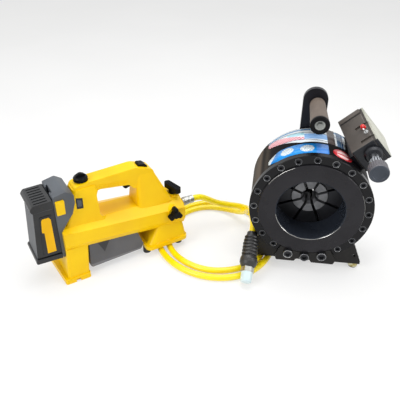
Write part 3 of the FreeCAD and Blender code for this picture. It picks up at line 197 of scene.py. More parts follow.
# Studio light: a wide soft box overhead, a key from the front left, a strip on the right
# for the drum's highlights, and a pale room that shows white behind the set.
room = bpy.data.worlds.new("studio_room")
bpy.context.scene.world = room
room.use_nodes = True
tree = room.node_tree
tree.nodes.clear()
seen = add(tree, "ShaderNodeBackground", {"Color": (1, 1, 1, 1), "Strength": 1.0})
lit = add(tree, "ShaderNodeBackground", {"Color": (1, 1, 1, 1), "Strength": 0.5})
both = add(tree, "ShaderNodeMixShader", {"Fac": shown(tree)})
tree.links.new(lit.outputs["Background"], both.inputs[1])
tree.links.new(seen.outputs["Background"], both.inputs[2])
add(tree, "ShaderNodeOutputWorld", {"Surface": both.outputs["Shader"]})
for name, place, target, size, power in (
        ("overhead_soft_box", (0.1, 0.25, 1.7), (0.0, 0.0, 0.1), (1.6, 1.0), 19.0),
        ("key_soft_box", (-1.3, -1.4, 1.3), (0.0, 0.0, 0.1), (0.9, 0.9), 19.0),
        ("right_strip", (1.6, -0.5, 0.9), (0.2, 0.0, 0.15), (0.4, 1.3), 9.0)):
    lamp = bpy.data.lights.new(name, "AREA")
    lamp.shape = "RECTANGLE"
    lamp.size, lamp.size_y = size
    lamp.energy = power
    stand = bpy.data.objects.new(name, lamp)
    stand.location = place
    stand.rotation_euler = (Vector(target) - Vector(place)).to_track_quat("-Z", "Y").to_euler()
    bpy.context.scene.collection.objects.link(stand)


# Camera at the photograph's viewing angle: 45 mm on a 36 mm square sensor, looking down
# on the set from the front left of the head.
lens = bpy.data.cameras.new("photo_camera")
lens.lens = 45.0
lens.sensor_width = 36.0
photo_camera = bpy.data.objects.new("photo_camera", lens)
right = Vector((0.989016, 0.147809, 0))
up = Vector((-0.081035, 0.542219, 0.836320))
back = -Vector((-0.123616, 0.827134, -0.548241))
pose = Matrix((right, up, back)).transposed().to_4x4()
pose.translation = Vector((-0.089737, -0.783389, 0.667290)) + shift
photo_camera.matrix_world = pose
bpy.context.scene.collection.objects.link(photo_camera)
bpy.context.scene.camera = photo_camera
bpy.context.scene.view_settings.view_transform = "Standard"


# Front cover: turned steel flange with a raised face, sprayed in dark gloss enamel. Thin arcs of bright
# bare steel are painted on parts of the raised face's and the bowl's edges as painted highlights.
axis_height = 0.142


def head_axes(tree):
    """Object coordinates from the head's axis: across, along from its front, up."""
    place = add(tree, "ShaderNodeTexCoord").outputs["Object"]
    off = (-shift.x, -shift.y, -axis_height)
    centred = add(tree, "ShaderNodeMapping", {"Vector": place, "Location": off}).outputs["Vector"]
    return place, centred, add(tree, "ShaderNodeSeparateXYZ", {"Vector": centred}).outputs


def within(tree, *bands):
    """1 where each band's value lies within its half width of its middle, and 0 elsewhere."""
    mask = 1.0
    for value, middle, half in bands:
        band = add(tree, "ShaderNodeMath", {0: value, 1: middle, 2: half}, operation="COMPARE")
        mask = add(tree, "ShaderNodeMath", {0: mask, 1: band.outputs["Value"]},
                   operation="MULTIPLY").outputs["Value"]
    return mask


def painted(tree, under, top, *bands):
    """The top colour, an sRGB tone or a node's output, over the one under it within the bands."""
    top = linear(top) if isinstance(top, str) else top
    return add(tree, "ShaderNodeMix", {0: within(tree, *bands), 6: under, 7: top},
               data_type="RGBA").outputs[2]


def wear(material, *nodes):
    """Gives CAD nodes a material through their slots."""
    for node in nodes:
        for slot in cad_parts[node].material_slots:
            slot.material = material


cover_enamel, tree = empty_material("gloss_enamel_with_painted_edge_highlights")
place, _, axes = head_axes(tree)
flat = add(tree, "ShaderNodeCombineXYZ", {"X": axes["X"], "Z": axes["Z"]}).outputs["Vector"]
radius = add(tree, "ShaderNodeVectorMath", {0: flat}, operation="LENGTH").outputs["Value"]
turn = add(tree, "ShaderNodeMath", {0: axes["Z"], 1: axes["X"]}, operation="ARCTAN2").outputs["Value"]
ragged = add(tree, "ShaderNodeTexNoise", {"Vector": place, "Scale": 90.0, "Detail": 4.0}).outputs["Fac"]
frayed = add(tree, "ShaderNodeMath", {0: ragged, 1: 0.0016, 2: radius},
             operation="MULTIPLY_ADD").outputs["Value"]
face_edge, bowl_edge = 0.0973, 0.0652
highlight_arcs = ((face_edge, 0.0003, 2.27, 0.30), (face_edge, 0.00025, 0.09, 0.36),
          (bowl_edge, 0.0004, -2.0, 0.95), (bowl_edge, 0.0003, -0.75, 0.3))
front, ring, bowl = (axes["Y"], -0.02, 0.0219), (radius, 0.11, 0.0128), (radius, 0.0, 0.0648)
# Painted highlights: thin bright metal arcs on parts of the raised face's and the bowl's edges.
edge_highlight = 0.0
for edge, half_width, middle, half_angle in highlight_arcs:
    arc = within(tree, front, (frayed, edge, half_width), (turn, middle, half_angle))
    edge_highlight = add(tree, "ShaderNodeMath", {0: edge_highlight, 1: arc}, operation="MAXIMUM").outputs["Value"]
drift = add(tree, "ShaderNodeTexNoise", {"Vector": place, "Scale": 14.0, "Detail": 3.0}).outputs["Fac"]
coat = drifting_tone(tree, drift, ("#1b1a1e", "#252428"))
coat = painted(tree, coat, "#0d0d10", ring)
# Painted reflection: the bowl inside the raised face is painted a lighter blue grey.
coat = painted(tree, coat, "#272c35", bowl)
colour = add(tree, "ShaderNodeMix", {0: edge_highlight, 6: coat, 7: linear("#9b9a97")}, data_type="RGBA").outputs[2]
gloss = drifting_gloss(tree, drift, (0.2, 0.34))
finish_surface(tree, colour, gloss, (ragged, 0.00002), Metallic=edge_highlight, Specular_IOR_Level=0.22)
wear(cover_enamel, "front_cover")


# Drum, plates and handle bracket: the same enamel, sprayed thinner. On the drum's left side, long
# warm brown bands are painted into the base colour by angle round it: painted reflections.
drum_enamel, tree = empty_material("gloss_enamel_with_painted_reflections")
place, _, axes = head_axes(tree)
turn = add(tree, "ShaderNodeMath", {0: axes["Z"], 1: axes["X"]}, operation="ARCTAN2").outputs["Value"]
drift = add(tree, "ShaderNodeTexNoise", {"Vector": place, "Scale": 8.0, "Detail": 3.0}).outputs["Fac"]
# Painted reflections: brown bands from about 126 to 180 degrees round the drum, in the base colour.
reflection_angle = add(tree, "ShaderNodeMath", {0: drift, 1: 0.12, 2: turn}, operation="MULTIPLY_ADD").outputs["Value"]
painted_reflections = add(tree, "ShaderNodeMapRange", {"Value": reflection_angle, "From Min": 2.2, "From Max": 3.14})
coat = add(tree, "ShaderNodeValToRGB", {"Fac": painted_reflections.outputs["Result"]}, [
    (0.0, linear("#121113")), (0.24, linear("#1a1716")), (0.34, linear("#3c362f")),
    (0.42, linear("#1e1a16")), (0.46, linear("#241f1a")), (0.53, linear("#594e43")),
    (0.64, linear("#53493e")), (0.82, linear("#292319")), (0.96, linear("#4a4136"))])
gloss = drifting_gloss(tree, drift, (0.44, 0.54))
grain = add(tree, "ShaderNodeTexNoise", {"Vector": place, "Scale": 600.0}).outputs["Fac"]
finish_surface(tree, coat.outputs["Color"], gloss, (grain, 0.00002), Specular_IOR_Level=0.02)
wear(drum_enamel, "cylinder_drum")
plate_enamel = moulded("gloss_black_plate_enamel", ("#141312", "#201d1b"), 1.6, (0.26, 0.38), 0.02,
                       Specular_IOR_Level=0.25)
wear(plate_enamel, "front_tab_plate", "front_saddle_plate", "rear_saddle_plate")
bracket_enamel = moulded("blue_black_bracket_enamel", ("#101016", "#191920"), 1.6, (0.26, 0.38), 0.02,
                         Specular_IOR_Level=0.25)
wear(bracket_enamel, "handle_plate", "box_saddle")


# Cover screws: socket heads in black oxide. A thin ring of bright steel lies round each head's edge
# as a painted highlight: 17 small ones in the flange, 3 larger ones under it.
screw_oxide = moulded("black_oxide_screw_steel", ("#232427", "#34353a"), 0.8, (0.28, 0.4), 0.01, Metallic=0.6)
wear(screw_oxide, "cover_screws")
# Painted highlights: bright steel rings laid round the edges of the screw heads.
highlight_steel = moulded("painted_highlight_steel", ("#85868a", "#b5b6b6"), 0.5, (0.24, 0.36), 0.005, Metallic=1.0)
rims = bpy.data.node_groups.new("screw_highlight_rings", "GeometryNodeTree")
rims.interface.new_socket("Geometry", in_out="OUTPUT", socket_type="NodeSocketGeometry")


def open_inputs(tree, kinds):
    """Named inputs of a Geometry Nodes tree; returns each one's socket identifier."""
    found = {}
    for name, kind in kinds.items():
        socket = tree.interface.new_socket(name, in_out="INPUT", socket_type="NodeSocket" + kind)
        found[name] = socket.identifier
    return found


rim_inputs = open_inputs(rims, {"Screw circle": "Float", "Rim radius": "Float", "Rim wire": "Float",
                                "Place": "Vector", "Base screws": "Bool", "Finish": "Material"})
given = add(rims, "NodeGroupInput").outputs
circle = add(rims, "GeometryNodeMeshCircle", {"Vertices": 20, "Radius": given["Screw circle"]})
number = add(rims, "GeometryNodeInputIndex").outputs["Index"]
lowest_screw = 15.0
step = add(rims, "ShaderNodeMath", {0: number, 1: lowest_screw}, operation="SUBTRACT").outputs["Value"]
near = add(rims, "ShaderNodeMath", {0: step}, operation="ABSOLUTE").outputs["Value"]
low = add(rims, "ShaderNodeMath", {0: near, 1: 1.5}, operation="LESS_THAN").outputs["Value"]
dropped = add(rims, "FunctionNodeBooleanMath", {0: low, 1: given["Base screws"]}, operation="XOR")
kept = add(rims, "GeometryNodeDeleteGeometry",
           {"Geometry": circle.outputs["Mesh"], "Selection": dropped.outputs["Boolean"]}, domain="POINT")
loop = add(rims, "GeometryNodeCurvePrimitiveCircle", {"Resolution": 28, "Radius": given["Rim radius"]})
wire = add(rims, "GeometryNodeCurvePrimitiveCircle", {"Resolution": 8, "Radius": given["Rim wire"]})
rim = add(rims, "GeometryNodeCurveToMesh",
          {"Curve": loop.outputs["Curve"], "Profile Curve": wire.outputs["Curve"]})
spread = add(rims, "GeometryNodeInstanceOnPoints",
             {"Points": kept.outputs["Geometry"], "Instance": rim.outputs["Mesh"]})
real = add(rims, "GeometryNodeRealizeInstances", {"Geometry": spread.outputs["Instances"]})
placed = add(rims, "GeometryNodeTransform",
             {"Geometry": real.outputs["Geometry"], "Translation": given["Place"],
              "Rotation": (math.pi / 2, 0, 0)})
dressed = add(rims, "GeometryNodeSetMaterial",
              {"Geometry": placed.outputs["Geometry"], "Material": given["Finish"]})
add(rims, "NodeGroupOutput", {"Geometry": dressed.outputs["Geometry"]})


def grown(name, tree, sockets, sizes, body):
    """A plain mesh piece from a Geometry Nodes tree; sockets gives each input's identifier."""
    maker = bpy.data.objects.new(name + "_maker", bpy.data.meshes.new(name + "_maker"))
    bpy.context.scene.collection.objects.link(maker)
    modifier = maker.modifiers.new("nodes", "NODES")
    modifier.node_group = tree
    for key, value in sizes.items():
        modifier[sockets[key]] = value
    seen_by = maker.evaluated_get(bpy.context.evaluated_depsgraph_get())
    mesh = bpy.data.meshes.new_from_object(seen_by)
    bpy.data.objects.remove(maker)
    settled(name, mesh, body)


def settled(name, mesh, body):
    piece = bpy.data.objects.new(name, mesh)
    bpy.context.scene.collection.objects.link(piece)
    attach(piece, body)
    return piece


screw_circle = 0.105
for name, rim_radius, wire, depth, at_base in (("small_screw_highlight_rings", 0.0061, 0.00038, 0.0047, False),
                                               ("base_screw_highlight_rings", 0.0084, 0.00062, -0.0059, True)):
    sizes = {"Screw circle": screw_circle, "Rim radius": rim_radius, "Rim wire": wire,
             "Place": (shift.x, depth + shift.y, axis_height), "Base screws": at_base, "Finish": highlight_steel}
    grown(name, rims, rim_inputs, sizes, "set_frame")


# Labels on the drum: thin glossy printed vinyl with rounded corners, wrapped round it.
# A pale panel with hatching and lines, a blue band with two pale ovals, and a red disc.
label_radius = 112.55


def label(name, columns, material):
    """Vinyl sheet; columns list (distance round the drum, lowest and highest along it) in mm."""
    vertices, faces, flat = [], [], []
    for reach, low, high in columns:
        angle = reach / label_radius
        for along in (low, high):
            vertices.append((label_radius * math.cos(angle) / 1000 + shift.x, along / 1000 + shift.y,
                             label_radius * math.sin(angle) / 1000 + axis_height))
            flat.append((reach / 100, along / 100))
    for i in range(len(columns) - 1):
        faces.append((2 * i, 2 * i + 1, 2 * i + 3, 2 * i + 2))
    mesh = bpy.data.meshes.new(name)
    mesh.from_pydata(vertices, [], faces)
    printed = mesh.uv_layers.new(name="print")
    for corner in mesh.loops:
        printed.data[corner.index].uv = flat[corner.vertex_index]
    mesh.materials.append(material)
    for face in mesh.polygons:
        face.use_smooth = True
    piece = settled(name, mesh, "set_frame")
    film = piece.modifiers.new("film", "SOLIDIFY")
    film.thickness = 0.00012
    film.offset = 1.0


def rounded_columns(start, end, low, high, corner, low_rise=(0, 0), high_drop=(0, 0), step=1.5):
    """Columns of a sheet with rounded corners, from start to end degrees round the drum.

    low_rise and high_drop are (millimetres a degree, from which degree) for a slanted edge.
    """
    first, last = (math.radians(angle) * label_radius for angle in (start, end))
    count = int((last - first) / step)
    columns = []
    for i in range(count + 1):
        reach = first + (last - first) * i / count
        edge = max(0.0, corner - min(reach - first, last - reach))
        inset = corner - math.sqrt(max(0.0, corner ** 2 - edge ** 2))
        angle = math.degrees(reach / label_radius)
        rise, drop = (slant * max(0.0, angle - since) for slant, since in (low_rise, high_drop))
        columns.append((reach, low + inset + rise, high - inset - drop))
    return columns


def vinyl(name, tones, paint):
    """Printed film; paint takes the tree, the sheet's coordinates (in units of 100 mm round the
    drum and along it) and the ground colour, and returns the printed colour.
    """
    made, tree = empty_material(name)
    sheet = add(tree, "ShaderNodeUVMap", uv_map="print").outputs["UV"]
    cloud = add(tree, "ShaderNodeTexNoise", {"Vector": sheet, "Scale": 6.0, "Detail": 2.0}).outputs["Fac"]
    colour = paint(tree, sheet, drifting_tone(tree, cloud, tones))
    gloss = add(tree, "ShaderNodeMapRange", {"Value": cloud, "To Min": 0.22, "To Max": 0.34})
    finish_surface(tree, colour, gloss.outputs["Result"], (cloud, 0.00001), Specular_IOR_Level=0.3)
    return made


def pale_print(tree, sheet, colour):
    """Hatching at the left, thin lines across, a blue patch and dark bars at the right."""
    axes = add(tree, "ShaderNodeSeparateXYZ", {"Vector": sheet}).outputs
    reach, along = axes["X"], axes["Y"]
    leaning, steep, rising = [
        add(tree, "ShaderNodeMath", {0: reach, 1: slope, 2: along}, operation="MULTIPLY_ADD").outputs["Value"]
        for slope in (-0.33, 0.75, -0.12)]
    colour = painted(tree, colour, "#8db7e8", (reach, 1.70, 0.285), (along, 0.87, 0.11))
    colour = painted(tree, colour, "#a9dbe8", (reach, 2.15, 0.165), (along, 0.99, 0.06))
    widening = add(tree, "ShaderNodeMath", {0: reach, 1: 0.12, 2: -0.18}, operation="MULTIPLY_ADD")
    region = ((reach, 2.38, 0.395), (leaning, 0.123, widening.outputs["Value"]))
    fine = add(tree, "ShaderNodeMath", {0: steep, 1: 84.0}, operation="MULTIPLY").outputs["Value"]
    waves = add(tree, "ShaderNodeMath", {0: fine}, operation="SINE").outputs["Value"]
    colour = painted(tree, colour, "#f4dde1", *region)
    colour = painted(tree, colour, "#cf4a63", *region, (waves, 0.5, 0.5))
    for value, middle, half, ink in (
            (along, 1.16, 0.022, "#3f8cc4"), (rising, 0.80, 0.011, "#3c5a6c"),
            (rising, 0.505, 0.010, "#56607c"), (reach, 1.49, 0.075, "#463c3a"),
            (reach, 1.335, 0.045, "#56718f"), (reach, 1.265, 0.02, "#28456b")):
        colour = painted(tree, colour, ink, (value, middle, half))
    return colour


spot_radius = 0.125


def blue_print(tree, sheet, colour):
    """Lighter end, a white corner, and two pale ovals with a soft mottle."""
    axes = add(tree, "ShaderNodeSeparateXYZ", {"Vector": sheet}).outputs
    colour = painted(tree, colour, "#4e92e6", (axes["X"], 1.67, 0.115))
    slant = add(tree, "ShaderNodeMath", {0: axes["Y"], 1: 0.5, 2: axes["X"]}, operation="MULTIPLY_ADD")
    colour = painted(tree, colour, "#e6f2f8", (slant.outputs["Value"], 3.8, 1.0))
    mottle = add(tree, "ShaderNodeTexNoise", {"Vector": sheet, "Scale": 34.0, "Detail": 1.0}).outputs["Fac"]
    ink = drifting_tone(tree, mottle, ("#9fb7c6", "#e8eff2"), (0.42, 0.56))
    for centre in ((2.318, 0.41, 0.0), (1.945, 0.38, 0.0)):
        away = add(tree, "ShaderNodeVectorMath", {0: sheet, 1: centre}, operation="DISTANCE")
        colour = painted(tree, colour, ink, (away.outputs["Value"], 0.0, spot_radius))
    return colour


def red_print(tree, sheet, colour):
    """Two pale lobes either side of a red bar."""
    along = add(tree, "ShaderNodeSeparateXYZ", {"Vector": sheet}).outputs["Y"]
    lobes = painted(tree, linear("#ecc5c3"), "#c23a44", (along, 0.35, 0.022))
    away = add(tree, "ShaderNodeVectorMath", {0: sheet, 1: (1.294, 0.35, 0.0)}, operation="DISTANCE")
    return painted(tree, colour, lobes, (away.outputs["Value"], 0.0, spot_radius))


label("pale_drum_label", rounded_columns(60.5, 140, 63, 122, 6, low_rise=(0.95, 105)),
      vinyl("printed_pale_vinyl", ("#e2ecf2", "#f0f6f9"), pale_print))
label("blue_drum_label",
      rounded_columns(79.5, 138.5, 19.5, 56.5, 3, low_rise=(0.8, 128), high_drop=(1.1, 126)),
      vinyl("printed_blue_vinyl", ("#0a86dc", "#1b95e8"), blue_print))
disc = [(129.4 + 19.2 * math.cos(math.pi * i / 30), 17 * math.sin(math.pi * i / 30))
        for i in range(30, -1, -1)]
label("red_drum_label", [(reach, 35 - max(half, 0.3), 35 + max(half, 0.3)) for reach, half in disc],
      vinyl("printed_red_vinyl", ("#bd2730", "#d0333b"), red_print))


# Zinc plated fasteners, couplings and hose fittings: bright, slightly blotchy and faintly
# yellow. The control box's toggle and its bush are polished nickel.
zinc = moulded("zinc_plated_steel", ("#8f908b", "#c3c4c0"), 0.8, (0.22, 0.4), 0.01, Metallic=1.0)
wear(zinc, "bracket_screws", "outlet_coupling", "hose_ferrule", "hose_end_fitting", "inlet_coupler")
toggle_nickel = moulded("polished_nickel", ("#c9cbcc", "#eeeeec"), 0.5, (0.14, 0.22), 0.005, Metallic=0.5)
wear(toggle_nickel, "toggle_bush", "toggle_lever")


# Piston with its cone, and the pump's drive unit behind its casing: hardened steel, ground and
# left bare with an even satin face.
ground_steel = moulded("ground_steel", ("#4e4f52", "#707275"), 0.5, (0.24, 0.36), 0.01, Metallic=1.0)
wear(ground_steel, "piston_cone", "drive_unit")


# Return springs: bare spring steel coils, their front ends in the cover's pockets and their rear ends at
# the piston. In the real head they shorten as the piston comes forward; here they are one fixed piece.
spring_steel = moulded("oiled_spring_steel", ("#3d3e42", "#5a5b60"), 0.5, (0.28, 0.4), 0.005, Metallic=1.0)
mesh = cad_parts["return_springs"].data.copy()
built = bmesh.new()
built.from_mesh(mesh)
bmesh.ops.remove_doubles(built, verts=built.verts, dist=0.000001)
built.to_mesh(mesh)
built.free()
mesh.materials.clear()
mesh.materials.append(spring_steel)
coils = bpy.data.objects.new("return_spring_coils", mesh)
bpy.context.scene.collection.objects.link(coils)
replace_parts(coils, "return_springs")
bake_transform(coils)


# Dies: eight base jaws in black oxide steel, and the exchangeable segments that they carry,
# left as bare machined steel that shows the cutter's lines.
black_oxide = moulded("black_oxide_steel", ("#151619", "#222328"), 0.8, (0.3, 0.42), 0.01, Metallic=0.5)
wear(black_oxide, *["master_die_%d" % i for i in range(1, 9)])
die_steel, tree = empty_material("machined_die_steel")
place, centred, _ = head_axes(tree)
cutter = add(tree, "ShaderNodeTexWave", {"Vector": centred, "Scale": 160.0, "Distortion": 0.8, "Detail": 1.0},
             wave_type="BANDS", bands_direction="Z").outputs["Fac"]
drift = add(tree, "ShaderNodeTexNoise", {"Vector": place, "Scale": 45.0, "Detail": 3.0}).outputs["Fac"]
tone = drifting_tone(tree, drift, ("#646568", "#808184"))
finish_surface(tree, tone, 0.42, (cutter, 0.00002), Metallic=0.45)
wear(die_steel, *["die_segment_%d" % i for i in range(1, 9)])


# Rubber: the seals of the piston and its hub, matt black, and the hose's ribbed bend protector,
# a little greyer and with a soft sheen.
black_rubber = moulded("moulded_black_rubber", ("#19191a", "#262627"), 0.9, (0.5, 0.65), 0.03)
wear(black_rubber, "piston_seals", "hub_seal")
protector_rubber = moulded("ribbed_protector_rubber", ("#1f1f20", "#2e2d2d"), 0.9, (0.32, 0.44), 0.03)
wear(protector_rubber, "bend_protector")


# Feet: black rubber in yellow passivated steel cups under the head, and plain rubber with no
# cups under the pump.
foot_finish, tree = empty_material("rubber_in_passivated_cups")
place, _, axes = head_axes(tree)
cup = within(tree, (axes["Z"], -0.1335, 0.0055), (axes["X"], 0.0, 0.12))
blotch = add(tree, "ShaderNodeTexNoise", {"Vector": place, "Scale": 160.0, "Detail": 3.0}).outputs["Fac"]
plating = drifting_tone(tree, blotch, ("#a89a5e", "#d9d4b4"), (0.4, 0.6))
rubber = drifting_tone(tree, blotch, ("#1b1b1c", "#29292a"), (0.4, 0.6))
colour = add(tree, "ShaderNodeMix", {0: cup, 6: rubber, 7: plating}, data_type="RGBA").outputs[2]
gloss = add(tree, "ShaderNodeMapRange", {"Value": cup, "To Min": 0.58, "To Max": 0.28}).outputs["Result"]
finish_surface(tree, colour, gloss, (blotch, 0.00003), Metallic=cup)
wear(foot_finish, "rubber_feet")


# Hand grip: turned sleeve of matt brown grey rubber, on a zinc plated bolt that oil has
# darkened. Its end ring, the pump's handle insert and its controls are black plastic.
grip_rubber, tree = empty_material("taupe_grip_rubber")
place, centred, _ = head_axes(tree)
drift = add(tree, "ShaderNodeTexNoise", {"Vector": place, "Scale": 26.0, "Detail": 4.0}).outputs["Fac"]
turned = add(tree, "ShaderNodeTexWave", {"Vector": centred, "Scale": 210.0, "Distortion": 0.5},
             wave_type="BANDS", bands_direction="Y").outputs["Fac"]
tone = drifting_tone(tree, drift, ("#584d45", "#6c6056"), (0.3, 0.7))
finish_surface(tree, tone, 0.6, (turned, 0.00006))
wear(grip_rubber, "handle_grip")
oiled_zinc = moulded("oiled_zinc_steel", ("#4b4e4d", "#b9bcb8"), 2.4, (0.24, 0.4), 0.02, Metallic=0.9)
wear(oiled_zinc, "handle_bolt")
black_plastic = moulded("black_moulded_plastic", ("#08080a", "#101012"), 0.6, (0.36, 0.48), 0.02,
                        Specular_IOR_Level=0.12)
wear(black_plastic, "grip_end_ring", "vent_cap", "pump_trigger", "handle_insert", "valve_lever", "lobe_knob")


# Control box: folded steel in warm grey satin enamel, its front painted near black on box and lid as
# painted shade. Its lid is the plate that closes its outer side, and its outer face is enamelled pale.
box_angle = math.radians(42)


def box_axes(tree):
    """Distances from the head's axis: away from it through the box, along it, and across."""
    place, centred, _ = head_axes(tree)
    spun = add(tree, "ShaderNodeMapping", {"Vector": centred, "Rotation": (0, box_angle, 0)})
    return place, add(tree, "ShaderNodeSeparateXYZ", {"Vector": spun.outputs["Vector"]}).outputs


box_enamel, tree = empty_material("warm_grey_enamel_with_painted_front_shade")
place, axes = box_axes(tree)
drift = add(tree, "ShaderNodeTexNoise", {"Vector": place, "Scale": 20.0, "Detail": 3.0}).outputs["Fac"]
grain = add(tree, "ShaderNodeTexNoise", {"Vector": place, "Scale": 900.0}).outputs["Fac"]
warm = drifting_tone(tree, drift, ("#4b4642", "#58524d"))
front_shade = drifting_tone(tree, drift, ("#191b1f", "#212328"))
front_depth = 0.0284
# Painted shade: the box's front, about 28 mm deep, is painted near black.
colour = painted(tree, warm, front_shade, (axes["Y"], 0.0, front_depth))
finish_surface(tree, colour, 0.42, (grain, 0.00002), Specular_IOR_Level=0.35)
wear(box_enamel, "control_box")
lid_enamel, tree = empty_material("pale_edged_enamel_with_painted_front_shade")
place, axes = box_axes(tree)
drift = add(tree, "ShaderNodeTexNoise", {"Vector": place, "Scale": 24.0, "Detail": 3.0}).outputs["Fac"]
warm = drifting_tone(tree, drift, ("#3a3735", "#4a4541"))
pale = drifting_tone(tree, drift, ("#a5a699", "#c1c1b4"))
colour = painted(tree, warm, pale, (axes["X"], 0.2, 0.0345))
# Painted shade: the lid's front is painted near black as well.
colour = painted(tree, colour, "#1d1f24", (axes["Y"], 0.0, front_depth))
finish_surface(tree, colour, 0.42, (drift, 0.00001), Specular_IOR_Level=0.35)
wear(lid_enamel, "box_lid")
red_lens = moulded("red_lamp_lens", ("#d01414", "#f02a22"), 1.0, (0.08, 0.15), 0.01, Coat_Weight=0.5)
wear(red_lens, "pressure_lamp")


def solid_plate(name, outline, frame_of, low, high, body, material, bevel=0.0003):
    """Thin plate: outline lists (a, b) in mm, frame_of(a, b, c) places each point in metres."""
    mesh = bpy.data.meshes.new(name)
    count = len(outline)
    vertices = [frame_of(a, b, c) for c in (low, high) for a, b in outline]
    faces = [list(range(count)), list(range(2 * count - 1, count - 1, -1))]
    faces += [[i, i + count, (i + 1) % count + count, (i + 1) % count] for i in range(count)]
    mesh.from_pydata(vertices, [], faces)
    built = bmesh.new()
    built.from_mesh(mesh)
    bmesh.ops.recalc_face_normals(built, faces=built.faces)
    if bevel:
        bmesh.ops.bevel(built, geom=built.edges[:], offset=bevel, segments=2, affect="EDGES",
                        clamp_overlap=True)
    built.to_mesh(mesh)
    built.free()
    mesh.materials.append(material)
    settled(name, mesh, body)


def in_box(out, back, rise):
    """Point of the control box in metres: out from the head's axis, back from its front, up."""
    across = out * math.cos(box_angle) - rise * math.sin(box_angle)
    up = out * math.sin(box_angle) + rise * math.cos(box_angle)
    return Vector((across, back, up + axis_height * 1000)) / 1000 + shift


def on_panel(out, back, proud):
    """Point over the box's sloping panel, which starts 28 mm back and 44 mm up."""
    normal = Vector((0, -32, 80)).normalized()
    rise = 44 + (back - 28) * 0.4
    return in_box(*(Vector((out, back, rise)) + normal * proud))


strip_enamel = moulded("warm_grey_strip_enamel", ("#504a45", "#5c5550"), 0.9, (0.38, 0.5), 0.02)
inner, outer = 118.5, 161.5
solid_plate("box_rear_strip", [(inner, 95.5), (outer, 95.5), (outer, 105), (inner, 105)], on_panel, -0.2, 1.4,
            "set_frame", strip_enamel, 0.0005)
# Painted shadow: a thin near black plate along the rear strip's front edge, for the shadow under it.
strip_shadow_black = moulded("painted_shadow_under_strip", ("#0e0e0f", "#161617"), 0.9, (0.5, 0.6), 0.02)
solid_plate("box_strip_painted_shadow", [(inner, 93.6), (outer, 93.6), (outer, 95.6), (inner, 95.6)], on_panel, -0.2,
            0.35, "set_frame", strip_shadow_black, 0.0)


# Micrometer: black anodised boss, satin chrome sleeve, and a fluted grey anodised knob with a
# slate end face. The knob's bright bevelled skirt carries dark engraved marks.
boss_finish = moulded("black_anodised_aluminium", ("#141519", "#202227"), 0.6, (0.3, 0.4), 0.01, Metallic=0.3)
wear(boss_finish, "micrometer_boss")
chrome = moulded("satin_chrome", ("#8d939b", "#c2c6cb"), 0.5, (0.12, 0.22), 0.005, Metallic=1.0)
wear(chrome, "micrometer_sleeve")
knob_finish, tree = empty_material("anodised_knob_with_engraved_skirt")
place, axes = box_axes(tree)
knob_out, knob_up = 147, 21
across = add(tree, "ShaderNodeMath", {0: axes["Z"], 1: knob_up / 1000}, operation="SUBTRACT").outputs["Value"]
away = add(tree, "ShaderNodeMath", {0: axes["X"], 1: knob_out / 1000}, operation="SUBTRACT").outputs["Value"]
turn = add(tree, "ShaderNodeMath", {0: across, 1: away}, operation="ARCTAN2").outputs["Value"]
fine = add(tree, "ShaderNodeMath", {0: turn, 1: 16.0}, operation="MULTIPLY").outputs["Value"]
marks = add(tree, "ShaderNodeMath", {0: fine}, operation="SINE").outputs["Value"]
engraved = painted(tree, linear("#cfd4da"), "#1f2126", (marks, 1.0, 0.55))
skirt = within(tree, (axes["Y"], 0.0, 0.0217))
drift = add(tree, "ShaderNodeTexNoise", {"Vector": place, "Scale": 30.0, "Detail": 3.0}).outputs["Fac"]
slate = drifting_tone(tree, drift, ("#2e343e", "#3d434d"))
grey = drifting_tone(tree, drift, ("#504f54", "#636166"))
sides = painted(tree, grey, slate, (axes["Y"], -0.06, 0.016))
colour = add(tree, "ShaderNodeMix", {0: skirt, 6: sides, 7: engraved}, data_type="RGBA").outputs[2]
sheen = add(tree, "ShaderNodeMapRange", {"Value": skirt, "To Min": 0.42, "To Max": 0.24}).outputs["Result"]
finish_surface(tree, colour, sheen, (drift, 0.00001), Metallic=0.25)
# Outline of the knob in millimetres: radius, and distance forward from its rear end.
profile = [(0, 12.5), (9.15, 12.5), (9.15, 0), (10.2, 0), (10.7, 0.6), (12.9, 19.4), (13.6, 20), (15.4, 20.8),
           (16.3, 21.6), (16.7, 22.6), (16.7, 24), (16.7, 25), (16.7, 39), (16.7, 40.5), (16.3, 41.6),
           (15.4, 42.6), (14, 43), (11, 43.1), (10.4, 42.6), (0, 42.6)]
steps, flutes, flute_depth, boss_gap = 144, 24, 0.8, 2
vertices, faces, rows = [], [], []
for radius, along in profile:
    fluted = 25 <= along <= 39
    row = []
    for i in range(1 if radius == 0 else steps):
        angle = 2 * math.pi * i / steps
        deep = flute_depth * max(0.0, math.cos(flutes * angle)) ** 2 if fluted else 0.0
        reach = radius - deep
        row.append(len(vertices))
        vertices.append(in_box(knob_out + reach * math.cos(angle), -boss_gap - along,
                               knob_up + reach * math.sin(angle)))
    rows.append(row)
for low, high in zip(rows, rows[1:]):
    for i in range(steps):
        j = (i + 1) % steps
        if len(low) == 1:
            faces.append((low[0], high[j], high[i]))
        elif len(high) == 1:
            faces.append((low[i], low[j], high[0]))
        else:
            faces.append((low[i], low[j], high[j], high[i]))
mesh = bpy.data.meshes.new("fluted_knob")
mesh.from_pydata(vertices, [], faces)
built = bmesh.new()
built.from_mesh(mesh)
bmesh.ops.recalc_face_normals(built, faces=built.faces)
built.to_mesh(mesh)
built.free()
mesh.materials.append(knob_finish)
for face in mesh.polygons:
    face.use_smooth = True
mesh.set_sharp_from_angle(angle=math.radians(35))
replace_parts(settled("fluted_knob", mesh, "micrometer"), "micrometer_knob")


